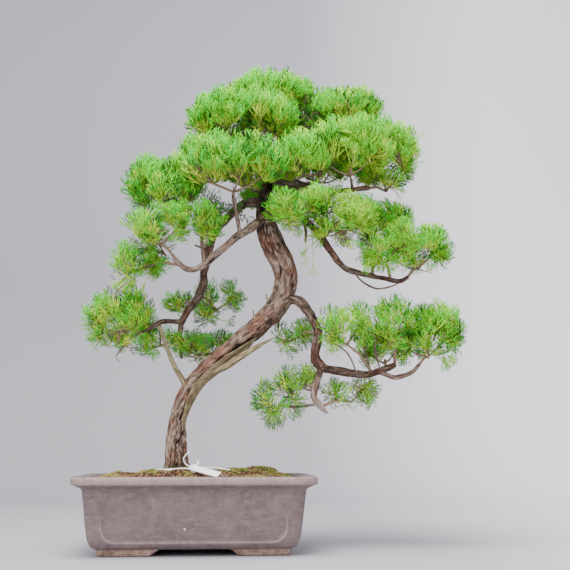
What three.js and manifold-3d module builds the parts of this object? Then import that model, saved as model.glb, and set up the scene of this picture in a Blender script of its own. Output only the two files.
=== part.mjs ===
// A potted Chinese juniper bonsai: a trunk in a long S curve, tapering boughs, two strips of bare
// deadwood, and separate masses of thread-like foliage, in an unglazed stoneware pot on four feet.
// Millimetres, +Z up. The front of the tree faces -Y, and everything is placed from the pot's centre.
import * as THREE from "three";
import { mergeVertices } from "three/addons/utils/BufferGeometryUtils.js";
import Module from "manifold-3d";

const wasm = await Module();
wasm.setup();

// Driving dimensions of the pot.
const POT_LENGTH = 350;
const POT_WIDTH = 250;
const POT_HEIGHT = 110;
const CORNER_RADIUS = 39;
const FOOT_HEIGHT = 10;
const FLOOR_TOP = 21;
const FRONT_ARCH = 124;
const SIDE_ARCH = 74;
const ARCH_CURVE = 19; // how far each end of an arch curves in on its way up
const DRAIN_RADIUS = 12;
const DRAIN_SPACING = 130;
const PANEL_DEPTH = 1.6;
const PANEL_BOTTOM = 20;
const PANEL_TOP = 91;
const PANEL_SIDE_MARGIN = 37;
const PANEL_CORNER = 16;

// Driving dimensions of the soil and the tree.
const SOIL_EDGE = 105;
const GROUND = 117;
const TRUNK_SEAT_RADIUS = 27;
const CLEARANCE = 0.4;
const GOLDEN_ANGLE = Math.PI * (3 - Math.sqrt(5));

const POT_CLAY = material(0x8f7b76, 0.72);
const EARTH = material(0x5d4433, 0.95);
const BARK = material(0x7a5c4c, 0.88);
const DEADWOOD = material(0xcbb58f, 0.8);
const FOLIAGE = material(0x4f9a3c, 0.62);
const LABEL_PLASTIC = material(0xf4f2f4, 0.45);

function material(color, roughness) {
  return new THREE.MeshStandardMaterial({ color, roughness, metalness: 0 });
}

// A closed geometry with only shared positions left, which is what a boolean needs.
function shared(geometry) {
  const bare = geometry.clone();
  for (const name of Object.keys(bare.attributes)) {
    if (name !== "position") bare.deleteAttribute(name);
  }
  return mergeVertices(bare, 1e-4);
}

function solidOf(geometry) {
  const merged = shared(geometry);
  return new wasm.Manifold(
    new wasm.Mesh({
      numProp: 3,
      vertProperties: merged.attributes.position.array,
      triVerts: new Uint32Array(merged.index.array),
    }),
  );
}

function geometryOf(solid) {
  const mesh = solid.getMesh();
  const positions = new Float32Array(mesh.numVert * 3);
  for (let i = 0; i < mesh.numVert; i++) {
    const first = i * mesh.numProp;
    positions.set(mesh.vertProperties.subarray(first, first + 3), i * 3);
  }
  return new THREE.BufferGeometry()
    .setAttribute("position", new THREE.BufferAttribute(positions, 3))
    .setIndex(new THREE.BufferAttribute(new Uint32Array(mesh.triVerts), 1));
}

function largest(solid) {
  return solid.decompose().sort((a, b) => b.volume() - a.volume())[0];
}

// Moves every shared vertex of a closed geometry by a rule.
function reshape(geometry, rule) {
  const merged = shared(geometry);
  const position = merged.attributes.position;
  const point = new THREE.Vector3();
  for (let i = 0; i < position.count; i++) {
    rule(point.fromBufferAttribute(position, i));
    position.setXYZ(i, point.x, point.y, point.z);
  }
  return merged;
}

function box(width, depth, height, x, y, z) {
  return solidOf(new THREE.BoxGeometry(width, depth, height).translate(x, y, z));
}

// The pot. Its wall is a lathed profile whose circle is squared off to a rectangle with round
// corners, so a profile point is [inset from the rim's outline, height].

const CORNER_STEPS = 5;
const SHARPEST_CORNER = 6;
const RIM_HALF_LENGTH = POT_LENGTH / 2;
const RIM_HALF_WIDTH = POT_WIDTH / 2;

function squaredOff(profile) {
  const points = profile.map(([inset, z]) => new THREE.Vector2(RIM_HALF_WIDTH - inset, z));
  const segments = 4 * CORNER_STEPS;
  const lathe = new THREE.LatheGeometry(points, segments).rotateX(Math.PI / 2);
  return reshape(lathe, (p) => {
    const reach = Math.hypot(p.x, p.y);
    if (reach < 1e-3) return;
    const turn = (Math.atan2(p.y, p.x) / (2 * Math.PI) + 1) % 1;
    const index = Math.round(turn * segments) % segments;
    const outline = roundedCorner(RIM_HALF_WIDTH - reach, index);
    p.x = outline.x;
    p.y = outline.y;
  });
}

// One of the outline's points, at an inset from the rim. The corners share them out equally.
function roundedCorner(inset, index) {
  const halfLength = RIM_HALF_LENGTH - inset;
  const halfWidth = RIM_HALF_WIDTH - inset;
  const radius = Math.max(CORNER_RADIUS - inset, SHARPEST_CORNER);
  const corner = Math.floor(index / CORNER_STEPS);
  const step = (index % CORNER_STEPS) / (CORNER_STEPS - 1);
  const angle = ((corner + step) * Math.PI) / 2;
  const signX = corner === 0 || corner === 3 ? 1 : -1;
  const signY = corner < 2 ? 1 : -1;
  return new THREE.Vector2(
    signX * (halfLength - radius) + radius * Math.cos(angle),
    signY * (halfWidth - radius) + radius * Math.sin(angle),
  );
}

const AXIS = RIM_HALF_WIDTH;
const POT_OUTSIDE = [
  [37, FOOT_HEIGHT],
  [29, 15],
  [24, 28],
  [17, 88],
  [15.5, 93.5],
  [2, 98.6],
  [0, 100.5],
  [0, 106.5],
  [3.5, POT_HEIGHT],
];
const POT_INSIDE = [
  [18, POT_HEIGHT],
  [21, 107],
  [27, 95],
  [32, 40],
  [39, FLOOR_TOP],
];

function potProfile(shrink) {
  return [[AXIS, FOOT_HEIGHT], ...POT_OUTSIDE.map(([inset, z]) => [inset + shrink, z])];
}

// The outline of the sunk panels on two opposite sides, as a slab right through the pot.
function panel(sideLength, turned) {
  const half = sideLength / 2 - PANEL_SIDE_MARGIN;
  const outline = new THREE.Shape();
  outline.moveTo(-half, PANEL_TOP);
  outline.lineTo(-half, PANEL_BOTTOM + PANEL_CORNER);
  outline.quadraticCurveTo(-half, PANEL_BOTTOM, PANEL_CORNER - half, PANEL_BOTTOM);
  outline.lineTo(half - PANEL_CORNER, PANEL_BOTTOM);
  outline.quadraticCurveTo(half, PANEL_BOTTOM, half, PANEL_BOTTOM + PANEL_CORNER);
  outline.lineTo(half, PANEL_TOP);
  outline.closePath();
  return throughPot(outline, turned);
}

// An outline drawn on the front, cut through the pot from front to back, or turned, from end to end.
function throughPot(outline, turned) {
  const depth = 2 * POT_LENGTH;
  const slab = new THREE.ExtrudeGeometry(outline, { depth, bevelEnabled: false, curveSegments: 3 });
  slab.translate(0, 0, -depth / 2).rotateX(Math.PI / 2);
  return solidOf(turned ? slab.rotateZ(Math.PI / 2) : slab);
}

function footRing() {
  const outside = 40;
  const inside = 61;
  const outer = [[AXIS, 0], [outside, 0], [outside - 2, FOOT_HEIGHT + 1], [AXIS, FOOT_HEIGHT + 1]];
  const inner = [[AXIS, -1], [inside, -1], [inside, FOOT_HEIGHT + 2], [AXIS, FOOT_HEIGHT + 2]];
  return solidOf(squaredOff(outer)).subtract(solidOf(squaredOff(inner)));
}

// The arch between two feet, whose ends curve in to meet the pot's underside.
function arch(width, turned) {
  const half = width / 2;
  const top = half - ARCH_CURVE;
  const outline = new THREE.Shape();
  outline.moveTo(-half, -1);
  outline.lineTo(half, -1);
  outline.lineTo(half, 0);
  outline.quadraticCurveTo(half - 3, FOOT_HEIGHT - 1, top, FOOT_HEIGHT);
  outline.lineTo(top, FOOT_HEIGHT + 3);
  outline.lineTo(-top, FOOT_HEIGHT + 3);
  outline.lineTo(-top, FOOT_HEIGHT);
  outline.quadraticCurveTo(3 - half, FOOT_HEIGHT - 1, -half, 0);
  return throughPot(outline, turned);
}

function drain(side) {
  const hole = new THREE.CylinderGeometry(DRAIN_RADIUS, DRAIN_RADIUS, 60, 14);
  return solidOf(hole.rotateX(Math.PI / 2).translate((side * DRAIN_SPACING) / 2, 0, 0));
}

function pot() {
  const body = solidOf(squaredOff([...potProfile(0), ...POT_INSIDE, [AXIS, FLOOR_TOP]]));
  const withoutSkin = solidOf(squaredOff([...potProfile(PANEL_DEPTH), [AXIS, POT_HEIGHT]]));
  const panels = panel(POT_LENGTH, false).add(panel(POT_WIDTH, true));
  const feet = footRing().subtract(arch(FRONT_ARCH, false)).subtract(arch(SIDE_ARCH, true));
  const sunk = body.subtract(panels.subtract(withoutSkin));
  return sunk.add(feet).subtract(drain(-1)).subtract(drain(1));
}

// The soil is mounded a little above the rim round the trunk and to the right of it, and has low
// cushions of moss.

const MOUNDS = [
  { x: -24, y: -32, rx: 66, ry: 80, height: 14 },
  { x: 88, y: 24, rx: 62, ry: 50, height: 17 },
  { x: -118, y: 8, rx: 34, ry: 46, height: 7 },
];

// The middle and the radius of each cushion.
const MOSS = [
  [100, 30, 30], [60, -10, 26], [122, -24, 26], [88, -70, 24], [-128, -58, 24],
  [-14, 44, 26], [-96, 60, 26], [46, 66, 24], [-128, 22, 22], [-70, -28, 22],
];
const MOSS_HEIGHT = 3.4;

const SOIL_INSET = 23; // of the soil's outline, from the rim's
const SOIL_SLOPE = 40; // how far in from that outline the mounds reach their full height

function soilHeight(x, y) {
  const toEdge = Math.min(RIM_HALF_LENGTH - Math.abs(x), RIM_HALF_WIDTH - Math.abs(y)) - SOIL_INSET;
  const fade = THREE.MathUtils.smoothstep(toEdge, 0, SOIL_SLOPE);
  const rise = MOUNDS.reduce(
    (sum, m) => sum + m.height * Math.exp(-(((x - m.x) / m.rx) ** 2) - ((y - m.y) / m.ry) ** 2),
    0,
  );
  return SOIL_EDGE + fade * rise + mossHeight(x, y);
}

function mossHeight(x, y) {
  const heights = MOSS.map(([middleX, middleY, radius]) => {
    const out = Math.hypot(x - middleX, y - middleY);
    return MOSS_HEIGHT * (1 - THREE.MathUtils.smoothstep(out, 0.4 * radius, radius));
  });
  return Math.max(...heights);
}

// The pot's inside filled up, then cut down to a surface that follows the mounds.
function soil() {
  const wall = POT_INSIDE.slice(1).map(([inset, z]) => [inset + CLEARANCE, z]);
  const bottom = FLOOR_TOP + CLEARANCE;
  const sides = [[POT_INSIDE.at(-1)[0] + CLEARANCE, bottom], ...wall.slice(0, -1).reverse()];
  const top = [[sides.at(-1)[0], 2 * POT_HEIGHT], [AXIS, 2 * POT_HEIGHT]];
  const filled = solidOf(squaredOff([[AXIS, bottom], ...sides, ...top]));
  const slab = new THREE.BoxGeometry(POT_LENGTH, POT_WIDTH, POT_HEIGHT, 26, 18, 1);
  const surface = reshape(slab, (p) => {
    p.z = p.z > 0 ? soilHeight(p.x, p.y) : 0;
  });
  const seat = new THREE.CylinderGeometry(TRUNK_SEAT_RADIUS, TRUNK_SEAT_RADIUS, 40, 16);
  seat.rotateX(Math.PI / 2).translate(TRUNK_PATH[0][0], TRUNK_PATH[0][1], GROUND + 20);
  return filled.intersect(solidOf(surface)).subtract(solidOf(seat));
}

// A limb is a cylinder bent along a smooth line through points [x, y, z, radius].

const TRUNK_PATH = [
  [-31, 0, 105, 20.5],
  [-33, 0, 134, 16],
  [-33, -1, 164, 15],
  [-27, -4, 204, 13.5],
  [-1, -6, 252, 13.6],
  [42, -5, 291, 15.2],
  [86, 0, 332, 16],
  [127, 5, 376, 17.6],
  [137, 4, 424, 17.6],
  [112, -1, 478, 18.6],
  [101, 2, 526, 12.6],
  [109, 9, 576, 9],
  [125, 14, 642, 7],
  [139, 14, 704, 3.6],
];

// Boughs, each listed after the limb that it grows from.
const BOUGHS = {
  left_front_bough: [
    [100, -8, 510, 8], [77, -24, 488, 7], [57, -32, 473, 6.6], [34, -40, 450, 6.1], [8, -46, 425, 5.5],
  ],
  left_front_tip: [[8, -46, 425, 5.1], [-8, -52, 416, 4.6], [-22, -58, 417, 4.1], [-36, -63, 430, 3.4]],
  shelf_branch: [[62, -31, 476, 3.6], [56, -42, 507, 3], [50, -56, 530, 2.5]],
  left_upright: [[7, -46, 426, 3.2], [3, -46, 459, 2.7], [1, -48, 489, 2.3], [-14, -45, 516, 2]],
  left_back_bough: [
    [104, 6, 541, 8.4], [70, 35, 543, 7.8], [44, 44, 524, 7.3], [21, 48, 496, 7.1], [6, 50, 436, 6.9],
  ],
  left_hanging_bough: [
    [6, 50, 436, 6.6], [4, 48, 409, 7.2], [-6, 44, 384, 7.1], [-20, 38, 365, 6.6], [-29, 34, 346, 6],
  ],
  left_hanging_stub: [[-29, 34, 350, 4.8], [-30, 34, 319, 4.2], [-27, 34, 290, 2.6]],
  left_low_bough: [
    [-29, 34, 348, 4.6], [-46, 22, 347, 4.1], [-61, 10, 344, 3.9], [-74, 0, 333, 3.7], [-88, -9, 323, 3.1],
  ],
  right_low_bough: [
    [136, 0, 384, 8.8], [160, -14, 373, 7.9], [182, -28, 330, 7.4], [178, -34, 288, 8], [188, -36, 271, 7.6],
  ],
  right_low_limb: [
    [188, -36, 271, 7.1], [205, -38, 267, 6.7], [253, -40, 260, 6],
    [278, -38, 266, 5.7], [300, -36, 276, 4.8],
  ],
  right_low_tip: [[277, -39, 264, 4.2], [299, -42, 256, 3.8], [322, -44, 262, 3.5], [336, -44, 275, 2.9]],
  right_bottom_bough: [
    [187, -35, 270, 6], [179, -34, 244, 5.3], [176, -34, 227, 5.2],
    [185, -32, 214, 5.1], [196, -30, 202, 2.6],
  ],
  right_bottom_twig: [[182, -32, 216, 2.6], [160, -34, 212, 2.2], [140, -33, 211, 1.7]],
  right_mid_bough: [
    [104, -2, 516, 7.6], [138, -12, 521, 6.8], [163, -18, 507, 6.3],
    [185, -24, 482, 6.1], [213, -30, 439, 5.4],
  ],
  right_mid_limb: [
    [213, -30, 439, 5.1], [233, -32, 423, 4.7], [283, -34, 411, 4.2],
    [310, -32, 407, 3.8], [325, -30, 414, 3.2],
  ],
  right_upper_bough: [
    [110, 10, 580, 6.2], [150, -2, 566, 5.3], [193, -8, 554, 4.8], [235, -10, 559, 4.3], [270, -7, 564, 3.4],
  ],
  apex_left_bough: [[130, 14, 664, 4.6], [112, 2, 672, 3.7], [96, -10, 668, 2.9]],
  apex_right_bough: [[126, 14, 648, 5], [162, 8, 660, 4.3], [196, 6, 678, 3.6], [218, 8, 688, 2.8]],
  rear_left_bough: [[104, 8, 556, 5.6], [84, 34, 572, 4.8], [56, 50, 588, 4], [34, 56, 600, 3.2]],
  rear_right_bough: [[112, 14, 590, 6], [140, 44, 594, 5], [172, 66, 590, 4.2], [196, 74, 596, 3.4]],
};

// Bare deadwood: a bleached spur on the left, and a long splinter along the trunk's underside.
const DEADWOODS = {
  left_deadwood: [[-14, -10, 236, 5.6], [-35, -22, 271, 4.1], [-48, -26, 301, 3.5], [-60, -28, 333, 2.2]],
  right_deadwood: [
    [22, -10, 265, 6], [43, -18, 273, 5.6], [66, -23, 288, 5.2], [92, -26, 304, 3.8], [117, -28, 317, 1],
  ],
};

function curveThrough(path) {
  const points = path.map(([x, y, z]) => new THREE.Vector3(x, y, z));
  return new THREE.CatmullRomCurve3(points, false, "catmullrom", 0.5);
}

function limbPath(name) {
  return name === "trunk" ? TRUNK_PATH : BOUGHS[name];
}

// A limb's cross-section is a little lobed, and its lobes turn round the limb as the grain does.
function limb(path, { sides, step, lobes = 0, twist = 0, grow = 0 }) {
  const curve = curveThrough(path);
  const steps = Math.max(3, Math.round(curve.getLength() / step));
  const frames = parallelFrames(curve, steps);
  return reshape(new THREE.CylinderGeometry(1, 1, 1, sides, steps), (p) => {
    const t = p.y + 0.5;
    const angle = Math.atan2(p.z, p.x);
    const along = t * (path.length - 1);
    const before = Math.min(Math.floor(along), path.length - 2);
    const base = THREE.MathUtils.lerp(path[before][3], path[before + 1][3], along - before);
    const shape = 1 + lobes * Math.cos(3 * angle + twist * t);
    const radius = Math.hypot(p.x, p.z) * (base * shape + grow);
    const frame = frames[Math.round(t * steps)];
    const out = frame.side.clone().multiplyScalar(Math.cos(angle));
    out.addScaledVector(frame.over, Math.sin(angle));
    p.copy(frame.origin).addScaledVector(out, radius);
    p.addScaledVector(frame.along, t === 0 ? -grow : t === 1 ? grow : 0);
  });
}

// Frames that turn as little as they can from one end of a curve to the other.
function parallelFrames(curve, steps) {
  const frames = [];
  let side = new THREE.Vector3(1, 0, 0);
  for (let i = 0; i <= steps; i++) {
    const along = curve.getTangent(i / steps);
    side = side.clone().addScaledVector(along, -side.dot(along));
    if (side.length() < 0.1) side.set(0, 1, 0).addScaledVector(along, -along.y);
    side.normalize();
    const over = new THREE.Vector3().crossVectors(side, along);
    frames.push({ origin: curve.getPoint(i / steps), along, side, over });
  }
  return frames;
}

const TRUNK_SHAPE = { sides: 11, step: 21, lobes: 0.09, twist: 5 };
const BOUGH_SHAPE = { sides: 6, step: 24, lobes: 0.04, twist: 3 };

function trunk(grow) {
  const whole = solidOf(limb(TRUNK_PATH, { ...TRUNK_SHAPE, grow }));
  const level = GROUND + CLEARANCE - grow;
  return whole.subtract(box(200, 200, 100, TRUNK_PATH[0][0], 0, level - 50));
}

// Every limb with its solid, and with a fatter one that the pieces round it are cut clear of. Each
// bough is cut clear of the limbs before it, and a scrap beyond the limb that it grows from is dropped.
function limbs() {
  const made = { trunk: { solid: trunk(0), fat: trunk(CLEARANCE), color: BARK } };
  const grow = (paths, color) => {
    for (const [name, path] of Object.entries(paths)) {
      const fat = solidOf(limb(path, { ...BOUGH_SHAPE, grow: CLEARANCE }));
      const whole = solidOf(limb(path, BOUGH_SHAPE));
      const clear = Object.values(made).reduce((solid, other) => solid.subtract(other.fat), whole);
      made[name] = { solid: largest(clear), fat, color };
    }
  };
  grow(BOUGHS, BARK);
  grow(DEADWOODS, DEADWOOD);
  return made;
}

// Foliage. A mass keeps to an ellipsoid: the limb that its stem grows from and the share of the way
// along it, where its centre is, and how far it reaches each way. Its core is the share of that reach
// which a dense mass fills in.
const MASSES = {
  apex_front: { on: ["apex_left_bough", 1], at: [66, -43, 669], reach: [92, 52, 54], core: 0.8 },
  apex_back: { on: ["trunk", 1], at: [112, 18, 728], reach: [86, 58, 48], core: 0.8 },
  crown_centre: { on: ["apex_right_bough", 0.3], at: [166, 46, 684], reach: [42, 42, 42], core: 0.74 },
  crown_right_top: { on: ["apex_right_bough", 1], at: [234, 10, 702], reach: [66, 56, 50], core: 0.76 },
  crown_right_front: { on: ["right_upper_bough", 0.8], at: [232, -54, 618], reach: [70, 48, 62], core: 0.78 },
  crown_right_outer: { on: ["right_upper_bough", 1], at: [302, 12, 622], reach: [57, 60, 80], core: 0.76 },
  shelf: { on: ["shelf_branch", 1], at: [50, -78, 580], reach: [88, 50, 56], core: 0.78 },
  left_upper: { on: ["left_upright", 1], at: [-56, -22, 559], reach: [63, 56, 60], core: 0.76 },
  mid_centre: { on: ["trunk", 0.87], at: [160, -60, 596], reach: [54, 42, 54], core: 0.7 },
  front_centre: { on: ["right_mid_bough", 0.27], at: [152, -80, 512], reach: [58, 44, 44], core: 0.6 },
  right_mid_inner: { on: ["right_mid_bough", 0.78], at: [222, -62, 492], reach: [62, 46, 56] },
  right_mid_back: { on: ["right_mid_limb", 0.42], at: [290, 34, 522], reach: [60, 48, 50], core: 0.6 },
  right_mid_front: { on: ["right_mid_limb", 0.61], at: [287, -50, 461], reach: [58, 42, 54], core: 0.62 },
  right_mid_outer: { on: ["right_mid_limb", 1], at: [345, -12, 463], reach: [60, 50, 51], core: 0.68 },
  left_front: { on: ["left_front_tip", 1], at: [-58, -68, 484], reach: [54, 46, 50], core: 0.64 },
  left_stem_tuft: { on: ["left_upright", 0.26], at: [12, -60, 490], reach: [31, 32, 46] },
  left_outer: { on: ["left_front_tip", 0.8], at: [-90, -42, 430], reach: [45, 42, 47] },
  left_low_pad: { on: ["left_low_bough", 1], at: [-121, -25, 346], reach: [57, 52, 60], core: 0.7 },
  left_low_inner: { on: ["left_low_bough", 0.5], at: [-60, 16, 313], reach: [46, 38, 33] },
  left_back_upper: { on: ["left_hanging_bough", 0.4], at: [26, 82, 384], reach: [54, 44, 54], core: 0.5 },
  left_back_small: { on: ["left_hanging_bough", 0.56], at: [-34, 78, 390], reach: [34, 30, 26] },
  left_back_lower: { on: ["left_hanging_stub", 0.55], at: [14, 80, 318], reach: [52, 42, 42], core: 0.58 },
  right_low_outer: { on: ["right_low_tip", 1], at: [355, -28, 328], reach: [61, 50, 58], core: 0.68 },
  right_low_inner: { on: ["right_low_limb", 1], at: [300, -44, 336], reach: [46, 44, 60], core: 0.5 },
  right_low_left: { on: ["right_low_limb", 0.6], at: [224, -56, 330], reach: [47, 40, 49] },
  right_low_back: { on: ["right_low_bough", 0.53], at: [150, 16, 326], reach: [36, 36, 38], core: 0.5 },
  bottom_left: { on: ["right_bottom_twig", 1], at: [120, -30, 220], reach: [46, 44, 53], core: 0.5 },
  bottom_mid: { on: ["right_bottom_bough", 0.3], at: [158, 2, 256], reach: [34, 34, 34] },
  bottom_right: { on: ["right_bottom_bough", 0.8], at: [236, -14, 236], reach: [48, 38, 33] },
  rear_left: { on: ["rear_left_bough", 1], at: [28, 66, 638], reach: [76, 48, 56], core: 0.76 },
  rear_right: { on: ["rear_right_bough", 1], at: [205, 80, 640], reach: [72, 48, 58], core: 0.76 },
  rear_centre: { on: ["rear_right_bough", 0.36], at: [116, 82, 580], reach: [54, 44, 42], core: 0.66 },
  left_low_rear: { on: ["left_low_bough", 0.24], at: [-104, 52, 338], reach: [44, 36, 44], core: 0.6 },
  right_low_rear: { on: ["right_low_limb", 0.84], at: [298, 38, 312], reach: [48, 36, 44], core: 0.56 },
};

const UNDERSIDE = -0.4; // the lowest sprigs hang this far below level, as a cosine
const BORDER = 0.03; // the share of its reach that a mass keeps back from its neighbours
const REACH_PER_SPRIG = 24; // of a mass's three reaches together
const AIRY_SPRIGS = 1.5; // a mass with no core has this many times as many
const STEM_BASE = 3.2;
const STEM_TIP = 1.8;
const STALK_RADIUS = 1.6;
const TUFT_PLACE = 0.6; // where along its sprig a tuft is fullest
const TUFT_SHARE = 0.09; // a tuft's radius where it is fullest, as a share of its sprig's length
const NEEDLE_SPREAD = 0.34; // how far a sprig's needles lean out, as a share of its length
const CORE_NEEDLES = 0.35; // the share of a core's faces that a short needle stands on
const FIRST_SEED = 1201;
const SEED_STEP = 37;

// A seeded row of numbers from 0 to 1, the same on every run.
function seeded(seed) {
  const modulus = 2147483647;
  let state = seed % modulus;
  return () => {
    state = (state * 16807) % modulus;
    return state / modulus;
  };
}

function vector([x, y, z]) {
  return new THREE.Vector3(x, y, z);
}

// How far out a point lies in a mass: 0 at its centre and 1 where its reach ends.
function depthIn(mass, point) {
  const [x, y, z] = mass.at;
  const [rx, ry, rz] = mass.reach;
  return Math.hypot((point.x - x) / rx, (point.y - y) / ry, (point.z - z) / rz);
}

function ownSpace(mass, point) {
  const own = depthIn(mass, point);
  if (own > 1.02) return false;
  return Object.values(MASSES).every((other) => other === mass || own + BORDER < depthIn(other, point));
}

function outTo(mass, direction, share) {
  const reach = vector(mass.reach).multiply(direction);
  return vector(mass.at).addScaledVector(reach, share);
}

function sprigCount(mass) {
  const [rx, ry, rz] = mass.reach;
  return Math.round(((rx + ry + rz) / REACH_PER_SPRIG) * (mass.core ? 1 : AIRY_SPRIGS));
}

// Sprig k points along a golden-angle spiral, from straight up down to the shaded underside.
function sprigDirection(k, count, turn) {
  const rise = 1 - ((1 - UNDERSIDE) * (k + 0.5)) / count;
  const spread = Math.sqrt(1 - rise * rise);
  const angle = k * GOLDEN_ANGLE + turn;
  return new THREE.Vector3(spread * Math.cos(angle), spread * Math.sin(angle), rise);
}

// Points at a share of the way from one point to another, a distance out, and a turn round the way.
function around(from, to) {
  const along = to.clone().sub(from);
  const side = new THREE.Vector3(-along.y, along.x, 0.01 * along.z).cross(along).normalize();
  const over = new THREE.Vector3().crossVectors(along, side).normalize();
  return (share, out, turn) =>
    from
      .clone()
      .addScaledVector(along, share)
      .addScaledVector(side, out * Math.cos(turn))
      .addScaledVector(over, out * Math.sin(turn));
}

// A sprig: a three-sided stalk that swells into a tuft and ends in four needles. Needles that
// would leave the mass's own space are drawn in.
function sprig(mass, foot, direction, random) {
  const tip = outTo(mass, direction, 0.93 + 0.07 * random());
  const length = foot.distanceTo(tip);
  const at = around(foot, tip);
  const roll = random() * 2 * Math.PI;
  const points = [tip];
  const faces = [];
  for (let i = 0; i < 3; i++) {
    const turn = roll + (i * 2 * Math.PI) / 3;
    const needle = at(0.86 + 0.12 * random(), NEEDLE_SPREAD * length, turn + Math.PI / 3);
    const inner = at(0.7, 0, 0);
    for (let step = 0; step < 8 && !ownSpace(mass, needle); step++) needle.lerp(inner, 0.15);
    points.push(at(0, STALK_RADIUS, turn), at(TUFT_PLACE, TUFT_SHARE * length, turn), needle);
    const [foot0, tuft0, needle0] = [3 * i + 1, 3 * i + 2, 3 * i + 3];
    const [foot1, tuft1] = [1, 2].map((offset) => 3 * ((i + 1) % 3) + offset);
    faces.push(foot0, foot1, tuft1, foot0, tuft1, tuft0);
    faces.push(tuft0, tuft1, needle0, tuft1, 0, needle0, 0, tuft0, needle0);
  }
  faces.push(7, 4, 1);
  const geometry = new THREE.BufferGeometry().setFromPoints(points).setIndex(faces);
  return { tip, solid: solidOf(geometry) };
}

function stem(foot, tip) {
  const length = foot.distanceTo(tip);
  const rod = new THREE.CylinderGeometry(STEM_TIP, STEM_BASE, length, 5).translate(0, length / 2, 0);
  const aim = tip.clone().sub(foot).normalize();
  const turn = new THREE.Quaternion().setFromUnitVectors(new THREE.Vector3(0, 1, 0), aim);
  return solidOf(rod.applyQuaternion(turn).translate(foot.x, foot.y, foot.z));
}

// The dense heart of a mass: lumpy, with short needles on some of its faces, and drawn in wherever a
// neighbour is near.
function core(mass, random) {
  const ball = shared(new THREE.IcosahedronGeometry(1, 1));
  const points = [];
  const drawnIn = (direction, share) => {
    while (share > 0.1 && !ownSpace(mass, outTo(mass, direction, share + BORDER))) share -= BORDER;
    return outTo(mass, direction, share);
  };
  for (let i = 0; i < ball.attributes.position.count; i++) {
    const direction = new THREE.Vector3().fromBufferAttribute(ball.attributes.position, i);
    const hanging = direction.z < 0 ? 1 + 0.3 * direction.z : 1;
    points.push(drawnIn(direction, mass.core * hanging * (0.88 + 0.24 * random())));
  }
  const corners = Array.from(ball.index.array);
  const faces = [];
  for (let i = 0; i < corners.length; i += 3) {
    const [a, b, c] = corners.slice(i, i + 3);
    const middle = [a, b, c].reduce((sum, k) => sum.add(points[k]), new THREE.Vector3()).divideScalar(3);
    const direction = middle.clone().sub(vector(mass.at)).divide(vector(mass.reach)).normalize();
    const apex = drawnIn(direction, Math.min(0.99, mass.core + 0.2 + 0.1 * random()));
    const standsOut = depthIn(mass, apex) > depthIn(mass, middle) + 0.15;
    if (random() < CORE_NEEDLES && standsOut) {
      const tip = points.push(apex) - 1;
      faces.push(a, b, tip, b, c, tip, c, a, tip);
    } else {
      faces.push(a, b, c);
    }
  }
  return solidOf(new THREE.BufferGeometry().setFromPoints(points).setIndex(faces));
}

function touches(solid, others) {
  const a = solid.boundingBox();
  return others.some((other) => {
    const b = other.boundingBox();
    const apart = [0, 1, 2].some((i) => a.min[i] > b.max[i] || b.min[i] > a.max[i]);
    return !apart && solid.intersect(other).volume() > 0;
  });
}

// A sprig starts on the stem, or well inside the core where there is one.
function sprigFoot(mass, root, heart, direction, chance) {
  if (mass.core) return outTo(mass, direction, 0.6 * mass.core);
  return root.clone().lerp(heart, 0.6 + 0.35 * chance);
}

// A mass is its stem, its core if it is dense, and every sprig that clears the limbs and the
// masses before it.
function growMass(mass, seed, limbsNear, massesBefore) {
  const random = seeded(seed);
  const [limbName, share] = mass.on;
  const root = curveThrough(limbPath(limbName)).getPoint(share);
  const heart = outTo(mass, new THREE.Vector3(0, 0, -1), 0.15);
  const body = [stem(root, heart)];
  if (mass.core) body.push(core(mass, random));
  const grown = body.map((solid) =>
    limbsNear.filter((near) => touches(solid, [near])).reduce((rest, near) => rest.subtract(near), solid),
  );
  const turn = random() * 2 * Math.PI;
  const count = sprigCount(mass);
  for (let k = 0; k < count; k++) {
    const direction = sprigDirection(k, count, turn + 0.5 * random());
    const foot = sprigFoot(mass, root, heart, direction, random());
    const next = sprig(mass, foot, direction, random);
    if (!ownSpace(mass, next.tip)) continue;
    if (touches(next.solid, limbsNear) || touches(next.solid, massesBefore)) continue;
    grown.push(next.solid);
  }
  return largest(wasm.Manifold.union(grown));
}

// A blank plastic label with a white wire tie twisted round one end, lying on the soil and the rim.

const LABEL_KNOT = new THREE.Vector3(-3, -66, 120.2);
const LABEL_START = new THREE.Vector3(-8, -62, 122.6);
const LABEL_END = new THREE.Vector3(34, -106, 115.2);
const LABEL_LENGTH = 62;
const LABEL_WIDTH = 13;
const LABEL_TILT = 0.62; // in radians, towards the front
const LABEL_THICKNESS = 1.2;

// Each end of the wire: its points after the knot, and its radius.
const WIRE_ENDS = [
  { radius: 1.1, points: [[-21, -65, 120.5], [-40, -67, 119.5], [-58, -64, 119]] },
  { radius: 0.9, points: [[-26, -65.5, 120.4], [-34, -72, 119], [-42, -77, 117.6]] },
  { radius: 1, points: [[-15, -58, 127], [-18, -58, 135], [-9, -56, 146]] },
  { radius: 1.1, points: [[16, -61, 121.6], [33, -60, 120.6], [50, -66, 118]] },
  { radius: 1.8, points: [[2, -63, 126], [5, -62, 132]] },
];

function wire(points, radius) {
  const path = new THREE.CatmullRomCurve3(points);
  const corners = [0, 1, 2, 3].map((i) => (i * Math.PI) / 2);
  const section = new THREE.Shape(
    corners.map((angle) => new THREE.Vector2(radius * Math.cos(angle), radius * Math.sin(angle))),
  );
  return solidOf(new THREE.ExtrudeGeometry(section, { steps: 4, extrudePath: path }));
}

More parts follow.
